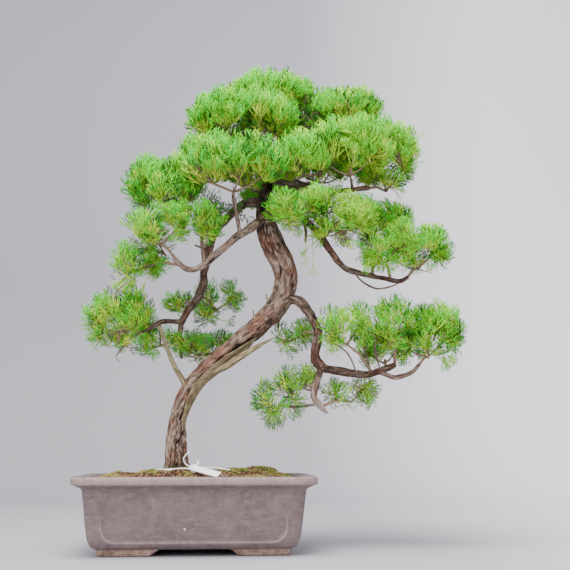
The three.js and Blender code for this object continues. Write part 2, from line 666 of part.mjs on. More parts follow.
function label() {
  const along = LABEL_END.clone().sub(LABEL_START).normalize();
  const across = new THREE.Vector3(0, 0, 1).cross(along).normalize().applyAxisAngle(along, LABEL_TILT);
  const facing = along.clone().cross(across);
  const place = new THREE.Matrix4().makeBasis(along, across, facing);
  place.setPosition(LABEL_START.clone().lerp(LABEL_END, 0.5));
  const plate = new THREE.BoxGeometry(LABEL_LENGTH, LABEL_WIDTH, LABEL_THICKNESS).applyMatrix4(place);
  const knot = new THREE.DodecahedronGeometry(5).translate(...LABEL_KNOT.toArray());
  const ends = WIRE_ENDS.map(({ points, radius }) => wire([LABEL_KNOT, ...points.map(vector)], radius));
  return wasm.Manifold.union([solidOf(plate), solidOf(knot), ...ends]);
}

// The whole plant.

const plant = new THREE.Group();

function place(name, solid, color) {
  const mesh = new THREE.Mesh(geometryOf(solid), color);
  mesh.name = name;
  plant.add(mesh);
}

const branches = limbs();
const fatLimbs = Object.values(branches).map((branch) => branch.fat);

place("pot", pot(), POT_CLAY);
place("soil", soil(), EARTH);
place("label", label(), LABEL_PLASTIC);
for (const [name, { solid, color }] of Object.entries(branches)) place(name, solid, color);
const grownMasses = [];
Object.entries(MASSES).forEach(([name, mass], i) => {
  grownMasses.push(growMass(mass, FIRST_SEED + SEED_STEP * i, fatLimbs, grownMasses));
  place("foliage_" + name, grownMasses.at(-1), FOLIAGE);
});

// The origin is under the middle of the whole plant, at the level that the feet stand on.
const extent = new THREE.Box3().setFromObject(plant);
const middle = extent.getCenter(new THREE.Vector3());
plant.position.set(-middle.x, -middle.y, -extent.min.z);

const bonsai = new THREE.Group();
bonsai.add(plant);

export default bonsai;
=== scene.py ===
# A Chinese juniper bonsai in its pot. Bark, bare wood, thread-like foliage, mossy soil, a stoneware pot and a
# plant label stand in for the solids of the same names. Sizes in the tables are millimetres, from the point
# on the ground under the pot's centre, and the front of the tree faces -Y.
import math

import bmesh
import bpy
import numpy as np
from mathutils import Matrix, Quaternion, Vector, noise
from mathutils.geometry import delaunay_2d_cdt


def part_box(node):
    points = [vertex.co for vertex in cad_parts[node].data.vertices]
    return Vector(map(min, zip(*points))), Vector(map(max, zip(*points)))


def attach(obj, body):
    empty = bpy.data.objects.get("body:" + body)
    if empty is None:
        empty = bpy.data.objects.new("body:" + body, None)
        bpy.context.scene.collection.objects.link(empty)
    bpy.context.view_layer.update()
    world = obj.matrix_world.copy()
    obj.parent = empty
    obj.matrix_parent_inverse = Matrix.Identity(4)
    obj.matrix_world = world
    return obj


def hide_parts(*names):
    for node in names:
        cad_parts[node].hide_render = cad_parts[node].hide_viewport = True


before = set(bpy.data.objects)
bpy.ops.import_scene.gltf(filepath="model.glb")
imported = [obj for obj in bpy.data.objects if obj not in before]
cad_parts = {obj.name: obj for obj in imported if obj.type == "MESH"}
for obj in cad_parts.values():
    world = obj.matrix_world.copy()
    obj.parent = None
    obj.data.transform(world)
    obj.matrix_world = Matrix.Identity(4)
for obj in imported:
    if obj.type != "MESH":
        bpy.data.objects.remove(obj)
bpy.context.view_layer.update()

pot_low, pot_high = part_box("pot")
POT_CENTRE = np.array([(pot_low.x + pot_high.x) / 2, (pot_low.y + pot_high.y) / 2, 0.0])
GOLDEN_ANGLE = math.pi * (3 - math.sqrt(5))
UP = Vector((0, 0, 1))


def in_frame(points):
    """Millimetres from the pot's centre, as metres in the row's frame."""
    return np.asarray(points, float) / 1000 + POT_CENTRE


def smooth_step(value, low, high):
    t = min(max((value - low) / (high - low), 0), 1)
    return t * t * (3 - 2 * t)


def linked(name, data):
    """A new object in the scene."""
    made = bpy.data.objects.new(name, data)
    bpy.context.scene.collection.objects.link(made)
    return made


# The camera stands where the photograph's did: low, and a little right of the pot's middle.
CAMERA_PLACE = (25, -1420, 145)
CAMERA_YAW = 4.4
CAMERA_PITCH = 10.3
FOCAL_PIXELS = 915
FRAME_PIXELS = 570
SENSOR = 36


def set_camera():
    data = bpy.data.cameras.new("camera")
    data.sensor_width = SENSOR
    data.lens = FOCAL_PIXELS / FRAME_PIXELS * SENSOR
    camera = linked("camera", data)
    camera.location = in_frame(CAMERA_PLACE)
    camera.rotation_euler = (math.radians(90 + CAMERA_PITCH), 0, math.radians(-CAMERA_YAW))
    bpy.context.scene.camera = camera


# Node trees

def add(tree, kind, inputs=None, output=0, stops=(), **settings):
    """Adds a node and gives one of its outputs. Settings are its properties. An input is given a number, a
    hex colour or a socket to be linked to, and a ramp its stops: places from 0 to 1 and hex colours."""
    made = tree.nodes.new(kind)
    for name, value in settings.items():
        setattr(made, name, value)
    for name, value in (inputs or {}).items():
        socket = made.inputs[name]
        if isinstance(value, bpy.types.NodeSocket):
            tree.links.new(value, socket)
        else:
            socket.default_value = shade(value) if socket.type == "RGBA" else value
    for i, (place, code) in enumerate(stops):
        elements = made.color_ramp.elements
        element = elements[i] if i < len(elements) else elements.new(1.0)
        element.position = place
        element.color = shade(code)
    return made.outputs[output] if made.outputs else None


def shade(code):
    """An sRGB hex colour as the linear colour that a shader takes."""
    parts = [int(code[i:i + 2], 16) / 255 for i in (1, 3, 5)]
    return [p / 12.92 if p <= 0.04045 else ((p + 0.055) / 1.055) ** 2.4 for p in parts] + [1.0]


def surface(name, roughness, specular=0.5, colour=None):
    """A material with its principled shader, and its tree."""
    material = bpy.data.materials.new(name)
    material.use_nodes = True
    tree = material.node_tree
    shader = tree.nodes["Principled BSDF"]
    shader.inputs["Roughness"].default_value = roughness
    shader.inputs["Specular IOR Level"].default_value = specular
    if colour:
        shader.inputs["Base Color"].default_value = shade(colour)
    return material, tree, shader


def layered(tree, base, layers):
    """Lays colours over a base. A layer has a value, from where to where that sets in, a strength, a colour
    and, unless it is a plain mix, how it is blended."""
    for value, low, high, strength, colour, *how in layers:
        mask = add(tree, "ShaderNodeMapRange", {"Value": value, "From Min": low, "From Max": high},
                   interpolation_type="SMOOTHSTEP")
        mask = add(tree, "ShaderNodeMath", {0: mask, 1: strength}, operation="MULTIPLY")
        base = add(tree, "ShaderNodeMix", {0: mask, 6: base, 7: colour}, 2, data_type="RGBA",
                   blend_type=how[0] if how else "MIX")
    return base


def dress(tree, shader, colour, height, distance):
    """Gives the shader its colour, and a bump whose full range is a distance in metres."""
    tree.links.new(colour, shader.inputs["Base Color"])
    normal = add(tree, "ShaderNodeBump", {"Height": height, "Distance": distance, "Strength": 1.0})
    tree.links.new(normal, shader.inputs["Normal"])


# Meshes

def soft_mesh(name, points, faces):
    """A smooth-shaded mesh from points in metres."""
    mesh = bpy.data.meshes.new(name)
    mesh.from_pydata(np.asarray(points).tolist(), [], faces)
    mesh.shade_smooth()
    return mesh


def piece(name, mesh, replaced, material=None):
    """Puts a finished mesh in the scene as a piece of the plant that stands for the named solids."""
    made = linked(name, mesh)
    if material:
        mesh.materials.clear()
        mesh.materials.append(material)
    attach(made, "root")
    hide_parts(*replaced)
    return made


def band_faces(first, rows, count, closed=True):
    """Faces between rows of points that follow each other, with a count of points to a row."""
    made = []
    for row in range(rows - 1):
        for k in range(count if closed else count - 1):
            a = first + row * count + k
            b = first + row * count + (k + 1) % count
            made.append((a, b, b + count, a + count))
    return made


def numbers_on(mesh, name, kind, values):
    """Stores a number, a whole number or a vector on each vertex."""
    attribute = mesh.attributes.new(name, kind, "POINT")
    field = "vector" if kind == "FLOAT_VECTOR" else "value"
    attribute.data.foreach_set(field, np.asarray(values).ravel())


class Growth:
    """Points in millimetres and faces, gathered before they become one mesh."""

    def __init__(self):
        self.points = []
        self.faces = []

    def add(self, points, faces):
        start = len(self.points)
        self.points.extend(tuple(p) for p in points)
        self.faces.extend(tuple(start + i for i in face) for face in faces)

    def thread(self, line, radii, sides=3):
        """A tapering closed thread along a line of points, whose last point is its tip."""
        line = [Vector(p) for p in line]
        points = []
        side = (line[1] - line[0]).orthogonal().normalized()
        for i, centre in enumerate(line[:-1]):
            along = (line[i + 1] - line[max(i - 1, 0)]).normalized()
            side = (side - side.dot(along) * along).normalized()
            over = along.cross(side)
            for k in range(sides):
                turn = 2 * math.pi * k / sides
                points.append(centre + radii[i] * (math.cos(turn) * side + math.sin(turn) * over))
        tip = len(points)
        points.append(line[-1])
        faces = [tuple(range(sides - 1, -1, -1))]
        for i in range(len(line) - 2):
            for k in range(sides):
                a, b = i * sides + k, i * sides + (k + 1) % sides
                faces += [(a, b, b + sides), (a, b + sides, a + sides)]
        last = tip - sides
        faces += [(last + k, last + (k + 1) % sides, tip) for k in range(sides)]
        self.add(points, faces)

    def mesh(self, name):
        return soft_mesh(name, in_frame(self.points), self.faces)


# Limbs. The paths are the source's: points of a smooth line, [x, y, z, radius].

TRUNK_PATH = [
    [-31, 0, 105, 20.5], [-33, 0, 134, 16], [-33, -1, 164, 15], [-27, -4, 204, 13.5], [-1, -6, 252, 13.6],
    [42, -5, 291, 15.2], [86, 0, 332, 16], [127, 5, 376, 17.6], [137, 4, 424, 17.6], [112, -1, 478, 18.6],
    [101, 2, 526, 12.6], [109, 9, 576, 9], [125, 14, 642, 7], [139, 14, 704, 3.6],
]
BOUGHS = {
    "left_front_bough": [
        [100, -8, 510, 8], [77, -24, 488, 7], [57, -32, 473, 6.6], [34, -40, 450, 6.1], [8, -46, 425, 5.5]],
    "left_front_tip": [[8, -46, 425, 5.1], [-8, -52, 416, 4.6], [-22, -58, 417, 4.1], [-36, -63, 430, 3.4]],
    "shelf_branch": [[62, -31, 476, 3.6], [56, -42, 507, 3], [50, -56, 530, 2.5]],
    "left_upright": [[7, -46, 426, 3.2], [3, -46, 459, 2.7], [1, -48, 489, 2.3], [-14, -45, 516, 2]],
    "left_back_bough": [
        [104, 6, 541, 8.4], [70, 35, 543, 7.8], [44, 44, 524, 7.3], [21, 48, 496, 7.1], [6, 50, 436, 6.9]],
    "left_hanging_bough": [
        [6, 50, 436, 6.6], [4, 48, 409, 7.2], [-6, 44, 384, 7.1], [-20, 38, 365, 6.6], [-29, 34, 346, 6]],
    "left_hanging_stub": [[-29, 34, 350, 4.8], [-30, 34, 319, 4.2], [-27, 34, 290, 2.6]],
    "left_low_bough": [
        [-29, 34, 348, 4.6], [-46, 22, 347, 4.1], [-61, 10, 344, 3.9], [-74, 0, 333, 3.7],
        [-88, -9, 323, 3.1]],
    "right_low_bough": [
        [136, 0, 384, 8.8], [160, -14, 373, 7.9], [182, -28, 330, 7.4], [178, -34, 288, 8],
        [188, -36, 271, 7.6]],
    "right_low_limb": [
        [188, -36, 271, 7.1], [205, -38, 267, 6.7], [253, -40, 260, 6], [278, -38, 266, 5.7],
        [300, -36, 276, 4.8]],
    "right_low_tip": [[277, -39, 264, 4.2], [299, -42, 256, 3.8], [322, -44, 262, 3.5], [336, -44, 275, 2.9]],
    "right_bottom_bough": [
        [187, -35, 270, 6], [179, -34, 244, 5.3], [176, -34, 227, 5.2], [185, -32, 214, 5.1],
        [196, -30, 202, 2.6]],
    "right_bottom_twig": [[182, -32, 216, 2.6], [160, -34, 212, 2.2], [140, -33, 211, 1.7]],
    "right_mid_bough": [
        [104, -2, 516, 7.6], [138, -12, 521, 6.8], [163, -18, 507, 6.3], [185, -24, 482, 6.1],
        [213, -30, 439, 5.4]],
    "right_mid_limb": [
        [213, -30, 439, 5.1], [233, -32, 423, 4.7], [283, -34, 411, 4.2], [310, -32, 407, 3.8],
        [325, -30, 414, 3.2]],
    "right_upper_bough": [
        [110, 10, 580, 6.2], [150, -2, 566, 5.3], [193, -8, 554, 4.8], [235, -10, 559, 4.3],
        [270, -7, 564, 3.4]],
    "apex_left_bough": [[130, 14, 664, 4.6], [112, 2, 672, 3.7], [96, -10, 668, 2.9]],
    "apex_right_bough": [[126, 14, 648, 5], [162, 8, 660, 4.3], [196, 6, 678, 3.6], [218, 8, 688, 2.8]],
    "rear_left_bough": [[104, 8, 556, 5.6], [84, 34, 572, 4.8], [56, 50, 588, 4], [34, 56, 600, 3.2]],
    "rear_right_bough": [[112, 14, 590, 6], [140, 44, 594, 5], [172, 66, 590, 4.2], [196, 74, 596, 3.4]],
}
DEADWOODS = {
    "left_deadwood": [[-14, -10, 236, 5.6], [-35, -22, 271, 4.1], [-48, -26, 301, 3.5], [-60, -28, 333, 2.2]],
    "right_deadwood": [
        [22, -10, 265, 6], [43, -18, 273, 5.6], [66, -23, 288, 5.2], [92, -26, 304, 3.8], [117, -28, 317, 1]],
}


def smooth_line(path, shares):
    """Where a smooth line through the path's points is at shares of its way, radius included."""
    knots = np.asarray(path, float)
    knots = np.vstack([2 * knots[0] - knots[1], knots, 2 * knots[-1] - knots[-2]])
    place = np.clip(np.asarray(shares, float), 0, 1) * (len(path) - 1)
    start = np.minimum(place.astype(int), len(path) - 2)
    t = (place - start)[..., None]
    before, first, second, after = (knots[start + i] for i in range(4))
    leaving, arriving = (second - before) / 2, (after - first) / 2
    bend = 3 * (second - first) - 2 * leaving - arriving
    turn = 2 * (first - second) + leaving + arriving
    return first + leaving * t + bend * t ** 2 + turn * t ** 3


def lengths_along(line):
    """How far along a line each of its points is."""
    return np.concatenate([[0], np.cumsum(np.linalg.norm(np.diff(line, axis=0), axis=1))])


def even_line(path, step):
    """Points and radii about a step apart along the path, and how far along each one is."""
    dense = np.linspace(0, 1, 40 * len(path))
    lengths = lengths_along(smooth_line(path, dense)[:, :3])
    along = np.linspace(0, lengths[-1], max(4, round(lengths[-1] / step)))
    return smooth_line(path, np.interp(along, lengths, dense)), along


def steady_frames(line):
    """For each point of a line: its direction and two directions across, turning as little as they can."""
    tangents = np.gradient(line, axis=0)
    tangents /= np.linalg.norm(tangents, axis=1, keepdims=True)
    side = np.array([1.0, 0, 0])
    sides = []
    for tangent in tangents:
        side = side - side.dot(tangent) * tangent
        side /= np.linalg.norm(side)
        sides.append(side)
    sides = np.array(sides)
    return tangents, sides, np.cross(sides, tangents)


def limb_path(name):
    return TRUNK_PATH if name == "trunk" else BOUGHS[name]


# Bark and bare wood. Each vertex keeps its place along the grain, how high its relief stands, which plate of
# bark it is on, and how bare it is, for the material to follow.

GRAIN_TURN = 0.006  # how fast the fibres wind round a limb, in radians per millimetre
PLATE_WIDTH = 3.3
PLATE_LENGTH = 9
CREVICE_DEPTH = 1.2
CREVICE_WIDTH = 0.16  # as a share of a plate
FLARE_DECAY = 17  # how far up the trunk's flare has fallen to about a third


def bark_height(x, y, along, flaking):
    """Long fissures that follow the grain, and thin plates between crevices where the bark flakes. Gives the
    height, and a number from 0 to 1 that is the plate's own."""
    fissure = min(abs(noise.noise((x / 8, y / 8, along / 60))) / 0.14, 1.0)
    strips = noise.noise((x / 17, y / 17, along / 130 + 7))
    warp = 1.6 * noise.noise((x / 9, y / 9, along / 20 + 50))
    near, centres = noise.voronoi(((x + warp) / PLATE_WIDTH, (y - warp) / PLATE_WIDTH, along / PLATE_LENGTH))
    crevice = 1 - min((near[1] - near[0]) / CREVICE_WIDTH, 1.0)
    plate = 0.5 + 0.5 * noise.cell(centres[0] * 7.3)
    height = 2.4 * strips + 2.2 * (fissure ** 0.6 - 1)
    height += 2.4 * noise.noise((x / 15, y / 15, along / 22 + 21))
    return height + flaking * (1.2 * (plate - 0.4) - CREVICE_DEPTH * crevice), plate


def bare_height(x, y, along):
    """Fine parallel ribs, as weathered wood has."""
    ribs = noise.noise((x / 2.6, y / 2.6, along / 70))
    hollows = noise.noise((x / 9, y / 9, along / 60 + 3))
    return 0.8 * ribs + 1.0 * hollows - 0.7


def all_bark(*_):
    """For a limb without bare wood: how bare a place is, and how far it is sunk."""
    return 0.0, 0.0


def all_bare(*_):
    return 1.0, 0.0


def limb_skin(skin, path, sides, step, relief, age, lobes=0.04, twist=3.0, bareness=all_bark, flare=0.0,
              flaking=0.8):
    """Adds a limb's skin. Relief scales the bark's height, and a function of a share of its length gives how
    dark
    its bark is there: partly its own tone, partly painted shade and highlight. Bareness gives how bare and
    how sunk a place is."""
    line, along = even_line(path, step)
    tangents, side, over = steady_frames(line[:, :3])
    share = along / along[-1]
    rings = []
    for i in range(len(line)):
        for k in range(sides):
            angle = 2 * math.pi * k / sides
            outward = math.cos(angle) * side[i] + math.sin(angle) * over[i]
            radius = line[i, 3] * (1 + lobes * math.cos(3 * angle + twist * share[i]))
            radius += flare * math.exp(-along[i] / FLARE_DECAY) * (0.55 + 0.45 * math.cos(5 * angle + 1.1))
            wound = angle + GRAIN_TURN * along[i]
            x, y = radius * math.cos(wound), radius * math.sin(wound)
            bare, sunk = bareness(line[i], tangents[i], outward, x, y, along[i])
            bark, plate = bark_height(x, y, along[i], flaking)
            height = (1 - bare) * bark + bare * bare_height(x, y, along[i]) - sunk
            height *= relief
            rings.append((line[i, :3] + (radius + height) * outward, (x, y, along[i]), height, bare, plate))
    start = len(skin["points"])
    skin["age"] += [age(share[i]) for i in range(len(line)) for _ in range(sides)] + [age(0), age(1)]
    for i, end in ((0, -1), (len(line) - 1, 1)):
        centre = line[i, :3] + end * 0.5 * line[i, 3] * tangents[i]
        rings.append((centre, (0, 0, along[i]), 0.0, rings[i * sides][3], 0.5))
    for name, values in zip(("points", "grain", "height", "bare", "plate"), zip(*rings)):
        skin[name] += [tuple(value) if name in ("points", "grain") else value for value in values]
    skin["faces"] += band_faces(start, len(line), sides)
    last = start + (len(line) - 1) * sides
    for k in range(sides):
        after = (k + 1) % sides
        skin["faces"].append((last + sides, start + after, start + k))
        skin["faces"].append((last + sides + 1, last + k, last + after))


def new_skin():
    return {name: [] for name in ("points", "faces", "grain", "height", "bare", "plate", "age")}


def skin_mesh(name, skin):
    mesh = soft_mesh(name, in_frame(skin["points"]), skin["faces"])
    numbers_on(mesh, "grain", "FLOAT_VECTOR", skin["grain"])
    for word in ("height", "bare", "plate", "age"):
        numbers_on(mesh, word, "FLOAT", skin[word])
    return mesh


BARE_LOW = 165  # the bare strand is narrow here, widest at BARE_WIDE and gone at BARE_TOP
BARE_WIDE = 262
BARE_TOP = 345
BARE_FADE = (125, 205)  # between these heights the strand sets in, and between the next ones the cleft does
CLEFT_FADE = (150, 230)
CLEFT_DEPTH = 3.2


def trunk_bareness(place, tangent, outward, x, y, along):
    """A bare strand runs along the trunk's underside up to the splinter, with a cleft beside it."""
    below = np.array([tangent[2], -0.25, -tangent[0]])
    below /= np.linalg.norm(below)
    facing = float(outward.dot(below)) + 0.22 * noise.noise((x / 12, y / 12, along / 40 + 11))
    z = place[2]
    edge = 0.86 - 0.72 * smooth_step(z, BARE_LOW, BARE_WIDE) + 0.3 * (1 - smooth_step(z, *BARE_FADE))
    edge += 1.2 * max((z - BARE_WIDE) / (BARE_TOP - BARE_WIDE), 0) ** 2
    inside = facing - edge
    cleft = math.exp(-((inside + 0.02) / 0.1) ** 2) * (0.7 + 0.8 * noise.noise((x / 20, y / 20, along / 16)))
    length = (0.25 + 0.75 * smooth_step(z, *CLEFT_FADE)) * (1 - smooth_step(z, BARE_TOP - 10, BARE_TOP + 30))
    return min(max(inside / 0.1, 0), 1), CLEFT_DEPTH * cleft * length


def bark_material():
    """Juniper bark: grey-pink plates that peel, red-brown where they have, with painted shade in the
    crevices. Some limbs are darker and some paler, partly their own tone and partly painted shade and
    highlight. Where it is gone the wood is weathered tan with painted shade in its hollows, and at the soil
    it is dark and damp."""
    material, tree, shader = surface("juniper bark", 0.88, 0.25)
    grain = add(tree, "ShaderNodeAttribute", output="Vector", attribute_name="grain")
    height, bare, plate, age = (add(tree, "ShaderNodeAttribute", output="Fac", attribute_name=name)
                                for name in ("height", "bare", "plate", "age"))
    drawn = add(tree, "ShaderNodeMapping", {"Vector": grain, "Scale": (1, 1, 0.2)})
    streaks, fibres, clouds = (
        add(tree, "ShaderNodeTexNoise", {"Vector": way, "Scale": 1 / size, "Detail": fine,
                                         "Roughness": rough})
        for way, size, fine, rough in ((drawn, 2.1, 5, 0.7), (drawn, 1.0, 2, 0.6), (grain, 36, 2, 0.5)))
    tone = add(tree, "ShaderNodeMath", {0: streaks, 1: 0.72}, operation="MULTIPLY")
    tone = add(tree, "ShaderNodeMath", {0: plate, 1: 0.24, 2: tone}, operation="MULTIPLY_ADD")
    brown = add(tree, "ShaderNodeValToRGB", {"Fac": tone},
                stops=((0.26, "#34281f"), (0.42, "#685549"), (0.56, "#8d796d"), (0.72, "#bba8a0")))
    red = add(tree, "ShaderNodeValToRGB", {"Fac": tone},
              stops=((0.26, "#2f1d16"), (0.43, "#614338"), (0.58, "#835f50"), (0.74, "#aa8d80")))
    bark = layered(tree, brown, [
        (clouds, 0.44, 0.6, 1, red), (fibres, 0.35, 0.75, 1, "#f2ece8", "SOFT_LIGHT")])
    # How dark the limb's bark is: darker above 0 and paler below it, partly the bark's own tone and partly
    # painted shade under the crown and painted highlight on the paler boughs.
    for strength, colour, how in ((0.75, "#4f3526", "MULTIPLY"), (-1.0, "#c8bab0", "MIX")):
        part = add(tree, "ShaderNodeMath", {0: age, 1: strength}, operation="MULTIPLY")
        bark = add(tree, "ShaderNodeMix", {0: part, 6: bark, 7: colour}, 2, data_type="RGBA", blend_type=how)
    # Painted shade in the crevices: the deeper the relief, the nearer black the bark.
    bark = layered(tree, bark, [(height, -0.6, -2.4, 1, "#1d140f")])
    wood = add(tree, "ShaderNodeValToRGB", {"Fac": streaks},
               stops=((0.3, "#493d2d"), (0.43, "#776a4e"), (0.55, "#9c8d6c"), (0.7, "#cbbd98")))
    # The second layer is painted shade in the wood's hollows: the deeper, the darker.
    wood = layered(tree, wood, [(clouds, 0.5, 0.62, 0.6, "#6b5440"), (height, -0.9, -2.6, 1, "#33281a")])
    colour = add(tree, "ShaderNodeMix", {0: bare, 6: bark, 7: wood}, 2, data_type="RGBA")
    place = add(tree, "ShaderNodeTexCoord", output="Object")
    rise = add(tree, "ShaderNodeSeparateXYZ", {"Vector": place}, "Z")
    damp = add(tree, "ShaderNodeMapRange", {"Value": streaks, "From Min": 0.7, "From Max": 0.4},
               interpolation_type="SMOOTHSTEP")
    damp = add(tree, "ShaderNodeMath", {0: damp, 1: 0.85}, operation="MULTIPLY")
    colour = layered(tree, colour, [(rise, 0.142, 0.12, damp, "#37331f")])
    relief = add(tree, "ShaderNodeMath", {0: fibres, 1: 0.5, 2: streaks}, operation="MULTIPLY_ADD")
    dress(tree, shader, colour, relief, 0.0013)
    return material


# How dark a bough's bark is at its start and its tip: 0 is the trunk's grey, 1 the deepest brown and less
# than 0 is paler. This is partly the bark's own tone and partly painted: shade on the darker boughs and
# highlight on the paler ones.
BOUGH_SHADES_AND_TONES = {
    "left_front_bough": (0.0, -0.25), "left_front_tip": (-0.25, 0.0), "shelf_branch": (0.3, 0.3),
    "left_upright": (0.3, 0.3), "left_hanging_bough": (0.5, 0.8), "right_low_bough": (0.4, 0.8),
    "right_low_limb": (0.8, 0.9), "right_mid_bough": (0.8, 0.5), "right_mid_limb": (0.7, 0.9),
    "right_bottom_bough": (0.7, -0.6),
}


TRUNK_SIDES = 112
TRUNK_STEP = 1.8  # how far apart the rings of its skin are
BOUGH_SIDES = 24
BOUGH_STEP = 2.2
TRUNK_FLARE = 10.5  # how much wider it is at the soil
# The trunk's bark darkens towards the crown: partly its own tone, partly painted shade under the crown.
TRUNK_DARKENS = (0.58, 0.74)  # shares of its length between which its bark turns dark

# Small dead twigs and stubs: which limb's bark or bare wood they have, and their paths.
STUBS = {
    "bark": [
        [[165, -14, 500, 3.2], [166, -19, 484, 2.6], [165, -20, 469, 1.6]],
        [[240, -32, 420, 1.9], [252, -34, 405, 1.7], [274, -34, 394, 1.6], [298, -34, 398, 1.5],
         [314, -32, 406, 1.2]],
        [[182, -34, 246, 2.6], [170, -36, 236, 2.0], [158, -38, 240, 1.2]],
        [[20, 46, 480, 2.4], [6, 40, 470, 2.0], [-10, 36, 474, 1.2]],
        [[262, -40, 264, 1.7], [252, -46, 296, 1.4], [236, -50, 322, 1.1], [228, -54, 346, 0.7]],
        [[276, -42, 268, 1.7], [268, -46, 300, 1.4], [270, -46, 330, 1.1], [276, -46, 356, 0.8]],
        [[252, -46, 296, 1.2], [264, -52, 312, 1.0], [258, -54, 336, 0.7]],
        [[240, -44, 262, 1.4], [226, -50, 290, 1.2], [204, -58, 306, 0.8]],
        [[-86, -8, 324, 1.8], [-104, -26, 318, 1.4], [-118, -38, 326, 1.0]],
        [[-96, -20, 319, 1.4], [-112, -34, 300, 1.1], [-122, -40, 284, 0.9], [-116, -40, 276, 0.6]],
    ],
    "bare": [
        [[24, -14, 287, 1.7], [2, 4, 289, 1.5], [-23, 20, 290, 1.0]],
        [[88, -8, 346, 2.2], [85, -9, 352, 1.8], [84, -10, 361, 0.9]],
        [[108, -6, 376, 2.2], [105, -8, 380, 1.8], [104, -9, 388, 0.9]],
        [[-124, -76, 366, 1.5], [-120, -78, 378, 1.5], [-108, -76, 388, 1.2], [-98, -72, 397, 0.7]],
    ],
}


def grow_wood():
    bark = bark_material()
    skin = new_skin()
    limb_skin(skin, TRUNK_PATH, TRUNK_SIDES, TRUNK_STEP, 0.85,
              lambda share: smooth_step(share, *TRUNK_DARKENS), 0.09, 5.0, trunk_bareness, flare=TRUNK_FLARE,
              flaking=1.0)
    piece("trunk_bark", skin_mesh("trunk_bark", skin), ["trunk"], bark)
    skin = new_skin()
    for name, path in BOUGHS.items():
        first, last = BOUGH_SHADES_AND_TONES.get(name, (0.5, 0.5))
        limb_skin(skin, path, BOUGH_SIDES, BOUGH_STEP, 0.085 * path[0][3],
                  lambda share: first + (last - first) * share)
    for path in STUBS["bark"]:
        limb_skin(skin, path, 9, 2.6, 0.2, lambda share: 0.4)
    piece("bough_bark", skin_mesh("bough_bark", skin), list(BOUGHS), bark)
    skin = new_skin()
    for path in DEADWOODS.values():
        limb_skin(skin, path, 28, BOUGH_STEP, 0.75, lambda share: 0.0, lobes=0.12, bareness=all_bare)
    for path in STUBS["bare"]:
        limb_skin(skin, path, 8, 2.6, 0.15, lambda share: 0.0, bareness=all_bare)
    piece("bare_wood", skin_mesh("bare_wood", skin), list(DEADWOODS), bark)


# Foliage. Each mass keeps to the source's ellipsoid: where its stem starts, its centre, its reach, how many
# sprays a tuft has, which greens it is dealt, and its lift, from 0 for an airy mass whose sprays point all
# ways to 1 for a dome of upright fans.

